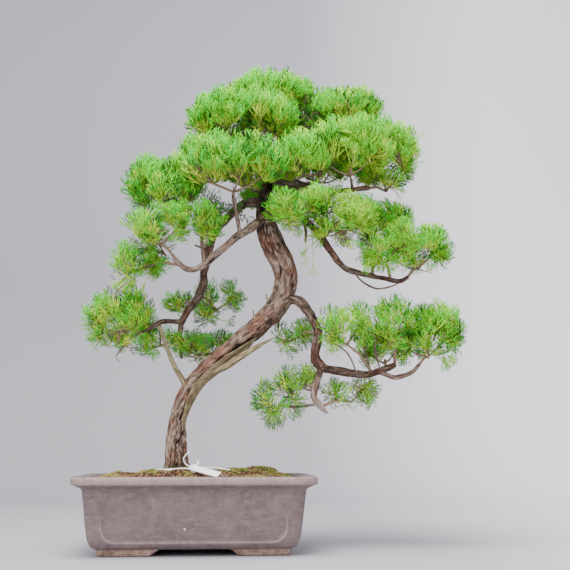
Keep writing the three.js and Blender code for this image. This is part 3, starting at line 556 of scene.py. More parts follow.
MASSES = {
    "apex_front": (("apex_left_bough", 1), (66, -43, 669), (92, 52, 54), 8, "fresh", 0.95),
    "apex_back": (("trunk", 1), (112, 18, 728), (86, 58, 48), 8, "fresh", 1),
    "crown_centre": (("apex_right_bough", 0.3), (166, 46, 684), (42, 42, 42), 7, "cool", 1),
    "crown_right_top": (("apex_right_bough", 1), (234, 10, 702), (66, 56, 50), 8, "fresh", 0.95),
    "crown_right_front": (("right_upper_bough", 0.8), (232, -54, 618), (70, 48, 62), 8, "lime", 0.75),
    "crown_right_outer": (("right_upper_bough", 1), (302, 12, 622), (57, 60, 80), 8, "lime", 0.6),
    "shelf": (("shelf_branch", 1), (50, -78, 580), (88, 50, 56), 8, "cool", 0.9),
    "left_upper": (("left_upright", 1), (-56, -22, 559), (63, 56, 60), 8, "shade", 0.75),
    "mid_centre": (("trunk", 0.87), (160, -60, 596), (54, 42, 54), 7, "fresh", 0.9),
    "front_centre": (("right_mid_bough", 0.27), (152, -80, 512), (58, 44, 44), 8, "lime", 0.4),
    "right_mid_inner": (("right_mid_bough", 0.78), (222, -62, 492), (62, 46, 56), 9, "lime", 0.25),
    "right_mid_back": (("right_mid_limb", 0.42), (290, 34, 522), (60, 48, 50), 7, "cool", 0.7),
    "right_mid_front": (("right_mid_limb", 0.61), (287, -50, 461), (58, 42, 54), 9, "lime", 0.2),
    "right_mid_outer": (("right_mid_limb", 1), (345, -12, 463), (60, 50, 51), 8, "fresh", 0.4),
    "left_front": (("left_front_tip", 1), (-58, -68, 484), (54, 46, 50), 8, "fresh", 0.5),
    "left_stem_tuft": (("left_upright", 0.26), (12, -60, 490), (31, 32, 46), 6, "fresh", 0.6),
    "left_outer": (("left_front_tip", 0.8), (-90, -42, 430), (45, 42, 47), 6, "fresh", 0.35),
    "left_low_pad": (("left_low_bough", 1), (-121, -25, 346), (57, 52, 60), 8, "cool", 0.4),
    "left_low_inner": (("left_low_bough", 0.5), (-60, 16, 313), (46, 38, 33), 5, "cool", 0.15),
    "left_back_upper": (("left_hanging_bough", 0.4), (26, 82, 384), (54, 44, 54), 6, "deep", 0.15),
    "left_back_small": (("left_hanging_bough", 0.56), (-34, 78, 390), (34, 30, 26), 5, "deep", 0.5),
    "left_back_lower": (("left_hanging_stub", 0.55), (14, 80, 318), (52, 42, 42), 7, "deep", 0.6),
    "right_low_outer": (("right_low_tip", 1), (355, -28, 328), (61, 50, 58), 8, "fresh", 0.5),
    "right_low_inner": (("right_low_limb", 1), (300, -44, 336), (46, 44, 60), 7, "fresh", 0.35),
    "right_low_left": (("right_low_limb", 0.6), (224, -56, 330), (47, 40, 49), 7, "lime", 0.2),
    "right_low_back": (("right_low_bough", 0.53), (150, 16, 326), (36, 36, 38), 6, "deep", 0.2),
    "bottom_left": (("right_bottom_twig", 1), (120, -30, 220), (46, 44, 53), 6, "deep", 0.1),
    "bottom_mid": (("right_bottom_bough", 0.3), (158, 2, 256), (34, 34, 34), 6, "deep", 0.1),
    "bottom_right": (("right_bottom_bough", 0.8), (236, -14, 236), (48, 38, 33), 6, "deep", 0.1),
    "rear_left": (("rear_left_bough", 1), (28, 66, 638), (76, 48, 56), 7, "fresh", 0.9),
    "rear_right": (("rear_right_bough", 1), (205, 80, 640), (72, 48, 58), 7, "fresh", 0.9),
    "rear_centre": (("rear_right_bough", 0.36), (116, 82, 580), (54, 44, 42), 7, "cool", 0.8),
    "left_low_rear": (("left_low_bough", 0.24), (-104, 52, 338), (44, 36, 44), 6, "cool", 0.3),
    "right_low_rear": (("right_low_limb", 0.84), (298, 38, 312), (48, 36, 44), 6, "cool", 0.4),
}

# The greens that a mass is dealt, as shares of the six kinds of shoot. The deep green is painted shade:
# shoots in shadow, dealt most to the deep masses at the back and underneath, to the shaded ones and to the
# inner tufts.
SHOOT_COLOURS = {
    "fresh": "#6fdc34",
    "cool": "#50c73e",
    "mid": "#7cc82c",
    "deep": "#347320",
    "lime": "#b4f040",
    "grey": "#85b068",
}
DEALS = {
    "fresh": (0.42, 0.14, 0.24, 0.12, 0.08, 0.0),
    "cool": (0.30, 0.30, 0.20, 0.14, 0.06, 0.0),
    "lime": (0.36, 0.06, 0.22, 0.08, 0.28, 0.0),
    "deep": (0.12, 0.16, 0.16, 0.14, 0.06, 0.36),
    "shade": (0.28, 0.26, 0.18, 0.26, 0.02, 0.0),
    "inner": (0.04, 0.04, 0.12, 0.8, 0.0, 0.0),
}
STALK_COLOURS = {"olive": "#b0dc3c", "straw": "#e2ee58", "brown": "#8d735f"}
STALK_DEAL = (0.62, 0.3, 0.08)
SHADED_STALK_DEAL = (0.7, 0.12, 0.18)

DOME_UNDERSIDE = -0.34  # how far below level the lowest tufts of a domed and an airy mass point
AIRY_UNDERSIDE = -0.97
FIRST_SEED = 1201
SEED_STEP = 37
DOME_SPACING = 28
AIRY_SPACING = 35
SHORTEST_SPRAY = 30
LONGEST_SPRAY = 62
LUMPS = 0.12  # how uneven a dome is, as a share of its reach
LOW_GAPS = 0.18  # how many of the lowest tufts are left out
TUFT_SPREAD = math.radians(30)
HUB_SPREAD = 46  # how far from its hub a tuft stands when it leans half over
HUB_AREA = 750  # square millimetres of a mass's reach to a hub
MOST_HUBS = 5
MASS_EDGE = 1.05  # depths in a mass, from 0 at its centre to 1 at its reach: the furthest that a tip is
NEAREST_TIP = 0.55  # and the nearest, and the furthest that a spray's foot is
FURTHEST_FOOT = 0.86
TIGHT_KINDS = 6
OPEN_KINDS = 4
TIGHT_SHOOTS = 7
OPEN_SHOOTS = 6
SHOOT_RADIUS = 0.022  # as a share of a spray's length, which makes a shoot about 2 mm thick
HOLLOW_SPRAY = 26
SPRIG_SPREAD = 0.5
INNER_SHARE = 0.4  # how many shaded tufts a dome has inside, as a share of its outer ones
BARE_SHARE = 0.1  # how many sprays have shed their leaves, in most masses and in the drier ones
DRY_SHARE = 0.3
DRY_MASSES = ("right_low_inner", "left_low_pad", "left_front", "right_mid_inner", "crown_right_outer")
SHADED = 0.27  # tufts below this share of light are dealt darker shoots, and those above the next lighter
SUNLIT = 0.86
SHADED_FACTORS = (0.5, 1.0, 1.2, 2.6, 0.3, 1.0)
SUNLIT_FACTORS = (1.6, 0.8, 0.7, 0.2, 2.2, 0.6)
PIECE_TRIANGLES = 190000


def seeded(seed):
    """The source's own row of numbers from 0 to 1."""
    state = seed % 2147483647

    def following():
        nonlocal state
        state = state * 16807 % 2147483647
        return state / 2147483647

    return following


def depth_in(mass, point):
    """0 at a mass's centre and 1 where its reach ends."""
    _, centre, reach, *_ = mass
    return math.sqrt(sum(((p - c) / r) ** 2 for p, c, r in zip(point, centre, reach)))


def own_space(mass, point):
    own = depth_in(mass, point)
    others = (other for other in MASSES.values() if other is not mass)
    return own <= MASS_EDGE and all(own < depth_in(other, point) for other in others)


# Limbs that the foliage leaves open to the front, with the shares of their length between which it does.
OPEN_LIMBS = {"right_mid_bough": (0.86, 1), "left_low_bough": (0, 0.8), "left_hanging_bough": (0, 1)}
OPEN_MARGIN = 7
open_line = np.vstack([
    smooth_line(BOUGHS[name], np.linspace(*span, 40)) for name, span in OPEN_LIMBS.items()])


def hides_limb(point):
    """Whether a point is in front of a limb that the foliage leaves open to the front."""
    apart = np.hypot(open_line[:, 0] - point.x, open_line[:, 2] - point.z)
    return bool(np.any((apart < open_line[:, 3] + OPEN_MARGIN) & (open_line[:, 1] > point.y)))


def tuft_direction(k, count, underside, turn):
    """The source's spiral: from straight up round to the shaded underside."""
    rise = 1 - (1 - underside) * (k + 0.5) / count
    spread = math.sqrt(1 - rise * rise)
    angle = k * GOLDEN_ANGLE + turn
    return Vector((spread * math.cos(angle), spread * math.sin(angle), rise))


def tuft_count(reach, underside, spacing):
    """As many tufts as fit on the grown part of an ellipsoid, a spacing apart."""
    p = 1.6
    a, b, c = (r ** p for r in reach)
    area = 4 * math.pi * ((a * b + a * c + b * c) / 3) ** (1 / p)
    return max(5, round(area * (1 - underside) / 2 / spacing ** 2))


def tilted(axis, tilt, turn):
    """A direction tilted from an axis, and turned round it."""
    side = axis.orthogonal().normalized()
    over = axis.cross(side)
    return math.cos(tilt) * axis + math.sin(tilt) * (math.cos(turn) * side + math.sin(turn) * over)


def spray_kind(seed, shoots, nearest, widest, fork_span, tip_length):
    """A spray, one unit long and upright: a stalk that forks low into shoots, which sweep out and then up and
    end in short side tips. The green part and the stalks are apart."""
    chance = seeded(seed)
    green, stalks = Growth(), Growth()
    lean = Vector((chance() - 0.5, chance() - 0.5, 0)) * 0.1
    stalks.thread([(0, 0, 0), lean * 0.5 + UP * 0.24, lean + UP * 0.5], [0.018, 0.015])
    for i in range(shoots):
        fork = 0.04 + fork_span * (i + chance()) / shoots
        turn = i * GOLDEN_ANGLE + chance()
        out = 0.03 if i == shoots - 1 else nearest + (widest - nearest) * chance()
        away = Vector((math.cos(turn), math.sin(turn), 0))
        top = 1.0 - 0.9 * out * out - 0.16 * chance()
        start = lean * fork + UP * fork
        drift = Vector((chance() - 0.5, chance() - 0.5, 0)) * 0.16
        bend = start + away * out * 0.86 + drift + UP * 0.6 * (top - fork)
        tip = start + away * out - 0.4 * drift + UP * (top - fork)
        stalks.thread([start, start.lerp(bend, 0.9)], [0.021])
        green.thread([start.lerp(bend, 0.58), bend, tip], [SHOOT_RADIUS * 0.7, SHOOT_RADIUS])
        for along in (0.0, 0.35, 0.66):
            foot = bend.lerp(tip, along)
            aim = (UP + 0.85 * tilted(UP, 1.4, turn + 2.4 * (chance() - 0.5) + 3 * along)).normalized()
            green.thread([foot, foot + aim * tip_length * (0.8 + 0.5 * chance())], [SHOOT_RADIUS * 0.85])
    return green, stalks


def kind_collection(name, meshes):
    """The kinds of a piece, which points choose from by number. It isn't linked to the scene."""
    collection = bpy.data.collections.new(name)
    for i, mesh in enumerate(meshes):
        collection.objects.link(bpy.data.objects.new(f"{name}_{i:02d}", mesh))
    return collection


def planting_tree():
    """Sets one of a collection's pieces on every point, with the point's own kind, turn and size."""
    tree = bpy.data.node_groups.new("planting", "GeometryNodeTree")
    for label, direction, kind in (
            ("Geometry", "INPUT", "NodeSocketGeometry"), ("Kinds", "INPUT", "NodeSocketCollection"),
            ("Material", "INPUT", "NodeSocketMaterial"), ("Geometry", "OUTPUT", "NodeSocketGeometry")):
        tree.interface.new_socket(label, in_out=direction, socket_type=kind)
    given = tree.nodes.new("NodeGroupInput").outputs
    kinds = add(tree, "GeometryNodeCollectionInfo", {"Collection": given["Kinds"], "Separate Children": True,
                                                     "Reset Children": True})
    kind, turn, size = (
        add(tree, "GeometryNodeInputNamedAttribute", {"Name": name}, "Attribute", data_type=data)
        for name, data in (("kind", "INT"), ("turn", "FLOAT_VECTOR"), ("size", "FLOAT")))
    turned = add(tree, "FunctionNodeEulerToRotation", {"Euler": turn})
    planted = add(tree, "GeometryNodeInstanceOnPoints", {
        "Points": given["Geometry"], "Instance": kinds, "Pick Instance": True, "Instance Index": kind,
        "Rotation": turned, "Scale": size})
    real = add(tree, "GeometryNodeRealizeInstances", {"Geometry": planted})
    coloured = add(tree, "GeometryNodeSetMaterial", {"Geometry": real, "Material": given["Material"]})
    add(tree, "NodeGroupOutput", {"Geometry": coloured})
    return tree


def grown(tree, carrier, name, kinds, material):
    """The plain mesh that the planting tree makes from a carrier mesh."""
    holder = linked(name, carrier)
    modifier = holder.modifiers.new("growth", "NODES")
    modifier.node_group = tree
    values = {"Kinds": kinds, "Material": material}
    for socket in tree.interface.items_tree:
        if socket.name in values:
            modifier[socket.identifier] = values[socket.name]
    evaluated = holder.evaluated_get(bpy.context.evaluated_depsgraph_get())
    mesh = bpy.data.meshes.new_from_object(evaluated)
    bpy.data.objects.remove(holder)
    mesh.name = name
    return mesh


class Planting:
    """Places for small pieces of one colour, before they are planted."""

    def __init__(self):
        self.points, self.turns, self.sizes, self.kinds = [], [], [], []

    def place(self, point, aim, roll, size, kind):
        turn = aim.to_track_quat("Z", "Y") @ Quaternion(UP, roll)
        self.points.append(tuple(point))
        self.turns.append(tuple(turn.to_euler()))
        self.sizes.append(size / 1000)
        self.kinds.append(kind)

    def carrier(self, first, last):
        mesh = bpy.data.meshes.new("places")
        mesh.from_pydata(in_frame(self.points[first:last]).tolist(), [], [])
        for name, kind, values in (("turn", "FLOAT_VECTOR", self.turns), ("size", "FLOAT", self.sizes),
                                   ("kind", "INT", self.kinds)):
            numbers_on(mesh, name, kind, values[first:last])
        return mesh


def plant(tree, word, plantings, meshes, materials, replaced):
    """Plants every colour of one kind of piece, in meshes that stay under the limit of triangles."""
    kinds = kind_collection(word + "_kinds", meshes)
    most = max(sum(len(p.vertices) - 2 for p in mesh.polygons) for mesh in meshes)
    step = PIECE_TRIANGLES // most
    for name, planting in plantings.items():
        for number, first in enumerate(range(0, len(planting.points), step)):
            mesh = grown(tree, planting.carrier(first, first + step), f"{word}_{name}_{number + 1}", kinds,
                         materials[name])
            piece(mesh.name, mesh, replaced)


def dealt(shares, names, chance):
    """One of the names, by their shares."""
    chance *= sum(shares)
    for name, share in zip(names, shares):
        chance -= share
        if chance <= 0:
            return name
    return names[-1]


def hub_places(centre, reach, lift, turn):
    """The forks that a mass's tufts rise from: one in a small mass, and up to MOST_HUBS in a wide one. They
    are low in a domed mass, and above and below the middle of an airy one."""
    count = min(max(1, round(reach.x * reach.y / (HUB_AREA + 150 * lift))), MOST_HUBS)
    hubs = []
    for i in range(count):
        angle = turn + 2 * math.pi * i / count
        wide = 0.0 if count == 1 else 0.5
        across = Vector((math.cos(angle) * reach.x, math.sin(angle) * reach.y, 0)) * wide
        rise = (0.36 - 0.36 * i) * (1 - lift) - 0.54 * lift - 0.1 * (i % 2)
        hubs.append(centre + across + UP * rise * reach.z)
    return hubs


def tuft_axis(tip, hub, rise, lift):
    """Which way a tuft points: up and out in a domed mass, and straight out in an airy one."""
    apart = (tip - hub).xy / HUB_SPREAD
    away = Vector((apart.x, apart.y, 0)) * min(1.0, 1.3 / max(apart.length, 0.01))
    low = -min(rise, 0)
    upright = (UP * (1 - 1.2 * low) + away * (0.55 + 0.8 * low)).normalized()
    outward = ((tip - hub).normalized() + 0.12 * UP).normalized()
    return (lift * upright + (1 - lift) * outward).normalized()


def grow_mass(index, name, greens, stalks, twigs):
    mass = MASSES[name]
    (limb, share), centre, reach, sprays, tint, lift = mass
    bare_share = DRY_SHARE if name in DRY_MASSES else BARE_SHARE
    stalk_deal = SHADED_STALK_DEAL if tint in ("deep", "shade") else STALK_DEAL
    chance = seeded(FIRST_SEED + SEED_STEP * index)
    centre, reach = Vector(centre), Vector(reach)
    root = Vector(smooth_line(limb_path(limb), share)[:3])
    drop = min(max((centre.z - root.z) / reach.z, 0.1 + 0.5 * lift), 0.45 + 0.45 * lift)
    heart = centre - UP * drop * reach.z
    knee = root.lerp(heart, 0.5) + UP * 0.12 * (heart - root).length
    twigs["brown"].thread([root, knee, heart, heart.lerp(centre, 0.3)], [2.6, 2.1, 1.5], 6)
    underside = AIRY_UNDERSIDE + (DOME_UNDERSIDE - AIRY_UNDERSIDE) * lift
    count = tuft_count(reach, underside, AIRY_SPACING + (DOME_SPACING - AIRY_SPACING) * lift)
    turn = 2 * math.pi * chance()
    hubs = hub_places(centre, reach, lift, 0.4 * (chance() - 0.5))
    for hub in hubs:
        sag = heart.lerp(hub, 0.4 + 0.2 * chance()) - UP * (4 * chance())
        twigs["brown"].thread([heart, sag, hub, hub + UP * 7], [1.8, 1.5, 1.1], 5)
    spread = TUFT_SPREAD * (1.7 - 0.7 * lift)
    longest = SHORTEST_SPRAY + (LONGEST_SPRAY - SHORTEST_SPRAY) * lift
    inner = round(INNER_SHARE * count * lift)
    for k in range(count + inner):
        outer = k < count
        aim = tuft_direction(k % count, count if outer else inner, underside if outer else -0.7,
                             turn + chance())
        out = aim * reach
        tip = centre + out
        hub = min(hubs, key=lambda place: (place - tip).length)
        ragged = (0.06 + 0.3 * (1 - lift)) * chance() ** 1.5
        lump = LUMPS * (0.5 + 0.5 * noise.noise(2.6 * aim + Vector((index, 0, 0))))
        leaning = min((tip - hub).xy.length / HUB_SPREAD, 1.4)
        far = MASS_EDGE - 0.06 * leaning ** 2 * lift - ragged - lump * lift
        if not outer:
            far = 0.5 + 0.25 * chance()
        while far > NEAREST_TIP and not own_space(mass, centre + far * out):
            far -= 0.05
        tip = centre + far * out
        low = aim.z < -0.1
        if not own_space(mass, tip) or (low and chance() < LOW_GAPS):
            continue
        axis = tuft_axis(tip, hub, aim.z, 0.4 * lift if low else lift)
        axis = tilted(axis, (0.7 - 0.45 * lift) * chance(), 6.3 * chance())
        length = min(max(0.84 * (tip - hub).length, SHORTEST_SPRAY), longest) * (0.88 + 0.2 * chance())
        foot = tip - axis * length
        while depth_in(mass, foot) > FURTHEST_FOOT and length > 0.6 * SHORTEST_SPRAY:
            length *= 0.92
            foot = tip - axis * length
        bend = hub.lerp(foot, 0.55) - UP * (0.1 * (foot - hub).length * (chance() - 0.2))
        twig = "brown" if chance() < 0.25 + 0.4 * lift else "olive"
        twigs[twig].thread([hub, bend, foot, foot + axis * 6], [1.3, 1.0, 0.7])
        # Inner tufts are dealt mostly deep green: painted shade inside the mass.
        shares = list(DEALS[tint if outer else "inner"])
        light = chance() + 0.35 * aim.z
        if outer and not SHADED <= light <= SUNLIT:
            factors = SHADED_FACTORS if light < SHADED else SUNLIT_FACTORS
            shares = [share * factor for share, factor in zip(shares, factors)]
        wanted = sprays if outer and far > 0.8 else sprays // 2
        for j in range(wanted):
            tilt = spread * math.sqrt((j + 0.3) / wanted)
            spray_aim = tilted(axis, tilt, j * GOLDEN_ANGLE + turn + k)
            spray_length = length * (1.06 - 0.2 * (tilt / spread) ** 2) * (0.84 + 0.24 * chance())
            start = foot + (spray_aim - axis) * 0.25 * length
            for _ in range(5):
                if own_space(mass, start + spray_aim * spray_length):
                    break
                spray_length *= 0.9
            else:
                continue
            if any(hides_limb(start + spray_aim * part * spray_length) for part in (0.6, 1.0)):
                continue
            if chance() < 0.2 + 0.5 * lift:
                kind = int(chance() * TIGHT_KINDS)
            else:
                kind = TIGHT_KINDS + int(chance() * OPEN_KINDS)
            roll = 2 * math.pi * chance()
            stalk = dealt(stalk_deal, list(STALK_COLOURS), chance())
            stalks[stalk].place(start, spray_aim, roll, spray_length, kind)
            if chance() > bare_share:
                colour = dealt(shares, list(SHOOT_COLOURS), chance())
                greens[colour].place(start, spray_aim, roll, spray_length, kind)


# The hollows between the masses, where the shaded twigs of both meet: the limb that they start on and where,
# the middle, the reach, how many twigs there are, and which greens their outer sprays are dealt.
HOLLOWS = [
    (("apex_left_bough", 0.7), (74, -14, 652), 34, 9, "shade"),
    (("trunk", 0.96), (116, -8, 644), 34, 10, "shade"),
    (("trunk", 0.98), (134, 4, 668), 32, 8, "shade"),
    (("apex_right_bough", 0.4), (170, 4, 690), 36, 12, "shade"),
    (("apex_right_bough", 0.5), (180, 8, 664), 42, 16, "shade"),
    (("apex_right_bough", 0.2), (160, -22, 640), 30, 7, "shade"),
    (("left_upright", 0.7), (-4, 6, 536), 34, 9, "shade"),
    (("left_upright", 0.5), (14, 12, 512), 26, 6, "shade"),
    (("left_back_bough", 0.4), (66, 36, 526), 17, 5, "shade"),
    (("left_front_tip", 0.7), (-92, -30, 470), 26, 6, "shade"),
    (("right_mid_bough", 0.5), (192, -64, 522), 32, 12, "lime"),
    (("right_mid_bough", 0.7), (196, -54, 498), 28, 9, "lime"),
]


def fill_hollow(index, hollow, greens, stalks, twigs):
    """Bare twigs that fan up from a limb, with a few dark sprays between them: painted shade."""
    (limb, share), middle, reach, count, tint = hollow
    chance = seeded(FIRST_SEED + SEED_STEP * (len(MASSES) + index))
    root, middle = Vector(smooth_line(limb_path(limb), share)[:3]), Vector(middle)
    base = root.lerp(middle, 0.4)
    twigs["brown"].thread([root, base], [2.2, 1.8], 6)
    for k in range(count):
        aim = tuft_direction(k, count, -0.5, 6 * chance())
        tip = middle + reach * (0.75 + 0.25 * chance()) * aim
        twigs["brown"].thread([base, base.lerp(tip, 0.5) - UP * (3 * chance()), tip], [1.4, 1.1, 0.7])
        for j in range(3):
            foot = base.lerp(tip, 0.45 + 0.17 * j)
            spray_aim = tilted(aim, 0.7, 2.1 * j + 6 * chance())
            roll, kind = 6.3 * chance(), TIGHT_KINDS + int(chance() * OPEN_KINDS)
            stalks["brown"].place(foot, spray_aim, roll, HOLLOW_SPRAY, kind)
            # Shaded hollows are dealt mostly deep green: painted shade.
            shares = DEALS["inner" if tint == "shade" and (aim.z < 0.4 or j < 2) else tint]
            colour = dealt(shares, list(SHOOT_COLOURS), chance())
            greens[colour].place(foot, spray_aim, roll, HOLLOW_SPRAY, kind)


# Single sprigs apart from the masses: from where, to where, their sprays' length, and how many there are.
HANGING_SPRIGS = [
    ((-84, -44, 418), (-96, -48, 402), 34, 3),
    ((-76, -44, 414), (-82, -46, 396), 30, 2),
    ((-98, -40, 420), (-112, -44, 404), 30, 3),
    ((262, -60, 450), (258, -66, 434), 26, 2),
    ((366, -36, 302), (374, -42, 288), 26, 4),
    ((366, -36, 302), (381, -40, 291), 22, 3),
    ((273, -45, 316), (275, -46, 343), 28, 3),
    ((281, -44, 330), (282, -46, 348), 22, 2),
    ((172, -26, 496), (175, -38, 432), 24, 1),
    ((160, -22, 508), (164, -34, 444), 20, 1),
    ((186, -28, 476), (166, -34, 455), 16, 2),
]


def hang_sprig(start, end, length, count, greens, stalks, twigs):
    """A twig that hangs from a mass, with a fan of sprays at its end."""
    start, end = Vector(start), Vector(end)
    aim = (end - start).normalized()
    sag = start.lerp(end, 0.5) + Vector((2, 0, 0))
    twigs["olive"].thread([start, sag, end, end + aim * 6], [0.8, 0.7, 0.6])
    for k in range(count):
        spray_aim = tilted(aim, SPRIG_SPREAD * min(k, 1), 2.4 * k)
        kind, colour = (TIGHT_KINDS + k % OPEN_KINDS, "lime") if k % 2 == 0 else (k, "fresh")
        stalks["olive"].place(end, spray_aim, k, length, kind)
        greens[colour].place(end, spray_aim, k, length, kind)


def leaf_material(name, code):
    """Scale leaves pressed close round a shoot: satin, and plain in colour, as each spray has one green."""
    return surface(f"juniper shoots, {name}", 0.62, 0.15, code)[0]


def stalk_material(name, code):
    """Young bark, smooth and matt."""
    return surface(f"juniper twigs, {name}", 0.75, 0.25, code)[0]


def grow_foliage(tree):
    greens = {name: Planting() for name in SHOOT_COLOURS}
    stalks = {name: Planting() for name in STALK_COLOURS}
    twigs = {"brown": Growth(), "olive": Growth()}
    for index, name in enumerate(MASSES):
        grow_mass(index, name, greens, stalks, twigs)
    for index, hollow in enumerate(HOLLOWS):
        fill_hollow(index, hollow, greens, stalks, twigs)
    for sprig in HANGING_SPRIGS:
        hang_sprig(*sprig, greens, stalks, twigs)
    nodes = ["foliage_" + name for name in MASSES]
    kinds = [spray_kind(501 + i, TIGHT_SHOOTS, 0.1, 0.27, 0.4, 0.14) for i in range(TIGHT_KINDS)]
    kinds += [spray_kind(601 + i, OPEN_SHOOTS, 0.2, 0.46, 0.5, 0.19) for i in range(OPEN_KINDS)]
    leaves = {name: leaf_material(name, code) for name, code in SHOOT_COLOURS.items()}
    barks = {name: stalk_material(name, code) for name, code in STALK_COLOURS.items()}
    shoots = [soft_mesh(f"shoots_{i}", green.points, green.faces) for i, (green, _) in enumerate(kinds)]
    plant(tree, "shoots", greens, shoots, leaves, nodes)
    forks = [soft_mesh(f"stalks_{i}", stalk.points, stalk.faces) for i, (_, stalk) in enumerate(kinds)]
    plant(tree, "stalks", stalks, forks, barks, nodes)
    for name, growth in twigs.items():
        piece(f"twigs_{name}", growth.mesh(f"twigs_{name}"), nodes, barks[name])


# The pot: rows of its profile round a rectangle with round corners, sunk panels, and four feet.

POT_LENGTH = 350
POT_WIDTH = 250
CORNER_RADIUS = 39
SHARPEST_CORNER = 6
POT_OUTSIDE = [
    [37, 10], [29, 15], [24, 28], [17, 88], [15.5, 93.5], [3.4, 98], [1.4, 98.9], [0.4, 99.7], [0, 100.8],
    [0, 105.8], [0.4, 108], [1.4, 109.4], [3.5, 110]]
POT_INSIDE = [[18, 110], [21, 107], [27, 95], [32, 40], [39, 21]]
ROW_STEP = 1.7
PANEL_DEPTH = 1.6
PANEL_SPAN = (20, 91)
PANEL_SIDE_MARGIN = 46
PANEL_CORNER = 20
PANEL_EDGE = 2.4
FOOT_SECTION = [[38.4, 11], [39.6, 1.6], [40.4, 0.5], [42, 0], [59, 0], [60.4, 0.5], [61, 1.6], [61, 11]]
FRONT_ARCH = 62  # half the width of the arch between two feet
SIDE_ARCH = 37
ARCH_CURVE = 19  # how far each end of an arch curves in on its way up
DRAIN_RADIUS = 12
DRAIN_PLACE = 65
DRAIN_SIDES = 40


def rounded(profile, times):
    """Cuts a profile's corners, again and again, until it runs smoothly."""
    line = np.asarray(profile, float)
    for _ in range(times):
        cut = [line[:1]]
        for a, b in zip(line[:-1], line[1:]):
            cut.append(np.array([a + 0.25 * (b - a), a + 0.75 * (b - a)]))
        line = np.vstack(cut + [line[-1:]])
    return line


def evened(line, step):
    """The same line with points a step apart."""
    along = lengths_along(line)
    places = np.linspace(0, along[-1], round(along[-1] / step))
    return np.stack([np.interp(places, along, line[:, i]) for i in range(line.shape[1])], axis=1)


def outline_columns(corner_steps, side_steps):
    """Stations round a rectangle with round corners: a share of each side, and which way it faces."""
    columns = []
    for quarter in range(4):
        facing = quarter * math.pi / 2
        corner = (1 if quarter in (0, 3) else -1, 1 if quarter < 2 else -1)
        after = (1 if quarter in (2, 3) else -1, 1 if quarter in (0, 3) else -1)
        for t in np.arange(corner_steps) / corner_steps:
            columns.append((*corner, facing + t * math.pi / 2))
        for t in np.arange(side_steps[quarter % 2]) / side_steps[quarter % 2]:
            share = [c + t * (a - c) for c, a in zip(corner, after)]
            columns.append((*share, facing + math.pi / 2))
    return np.array(columns)


def outline_points(inset, columns):
    """The stations' places at an inset from the rim's outline."""
    radius = max(CORNER_RADIUS - inset, SHARPEST_CORNER)
    x = columns[:, 0] * (POT_LENGTH / 2 - inset - radius) + radius * np.cos(columns[:, 2])
    y = columns[:, 1] * (POT_WIDTH / 2 - inset - radius) + radius * np.sin(columns[:, 2])
    return x, y


def from_panel(x, y, z, facing):
    """How far a place on the wall is outside the edge of its side's sunk panel."""
    front = abs(math.sin(facing)) > abs(math.cos(facing))
    half = (POT_LENGTH if front else POT_WIDTH) / 2 - PANEL_SIDE_MARGIN
    middle = sum(PANEL_SPAN) / 2
    radius = PANEL_CORNER if z < middle else 3
    across = abs(x if front else y) - half + radius
    upward = abs(z - middle) - (PANEL_SPAN[1] - PANEL_SPAN[0]) / 2 + radius
    return math.hypot(max(across, 0), max(upward, 0)) + min(max(across, upward), 0) - radius


def plate_faces(points, outer, holes, upward):
    """Faces of a flat plate between a ring of point numbers and the rings round its holes."""
    numbers = list(outer)
    edges = []
    for ring in [outer, *holes]:
        start = 0 if ring is outer else len(numbers)
        if ring is not outer:
            numbers += ring
        edges += [(start + i, start + (i + 1) % len(ring)) for i in range(len(ring))]
    flat = [Vector(points[n][:2]) for n in numbers]
    _, _, faces, origins, _, _ = delaunay_2d_cdt(flat, edges, [], 5, 1e-6)
    made = []
    for face in faces:
        ring = [numbers[origins[i][0]] for i in face]
        corners = [points[n] for n in ring]
        area = sum(a[0] * b[1] - b[0] * a[1] for a, b in zip(corners, corners[1:] + corners[:1]))
        made.append(ring if (area > 0) == upward else ring[::-1])
    return made


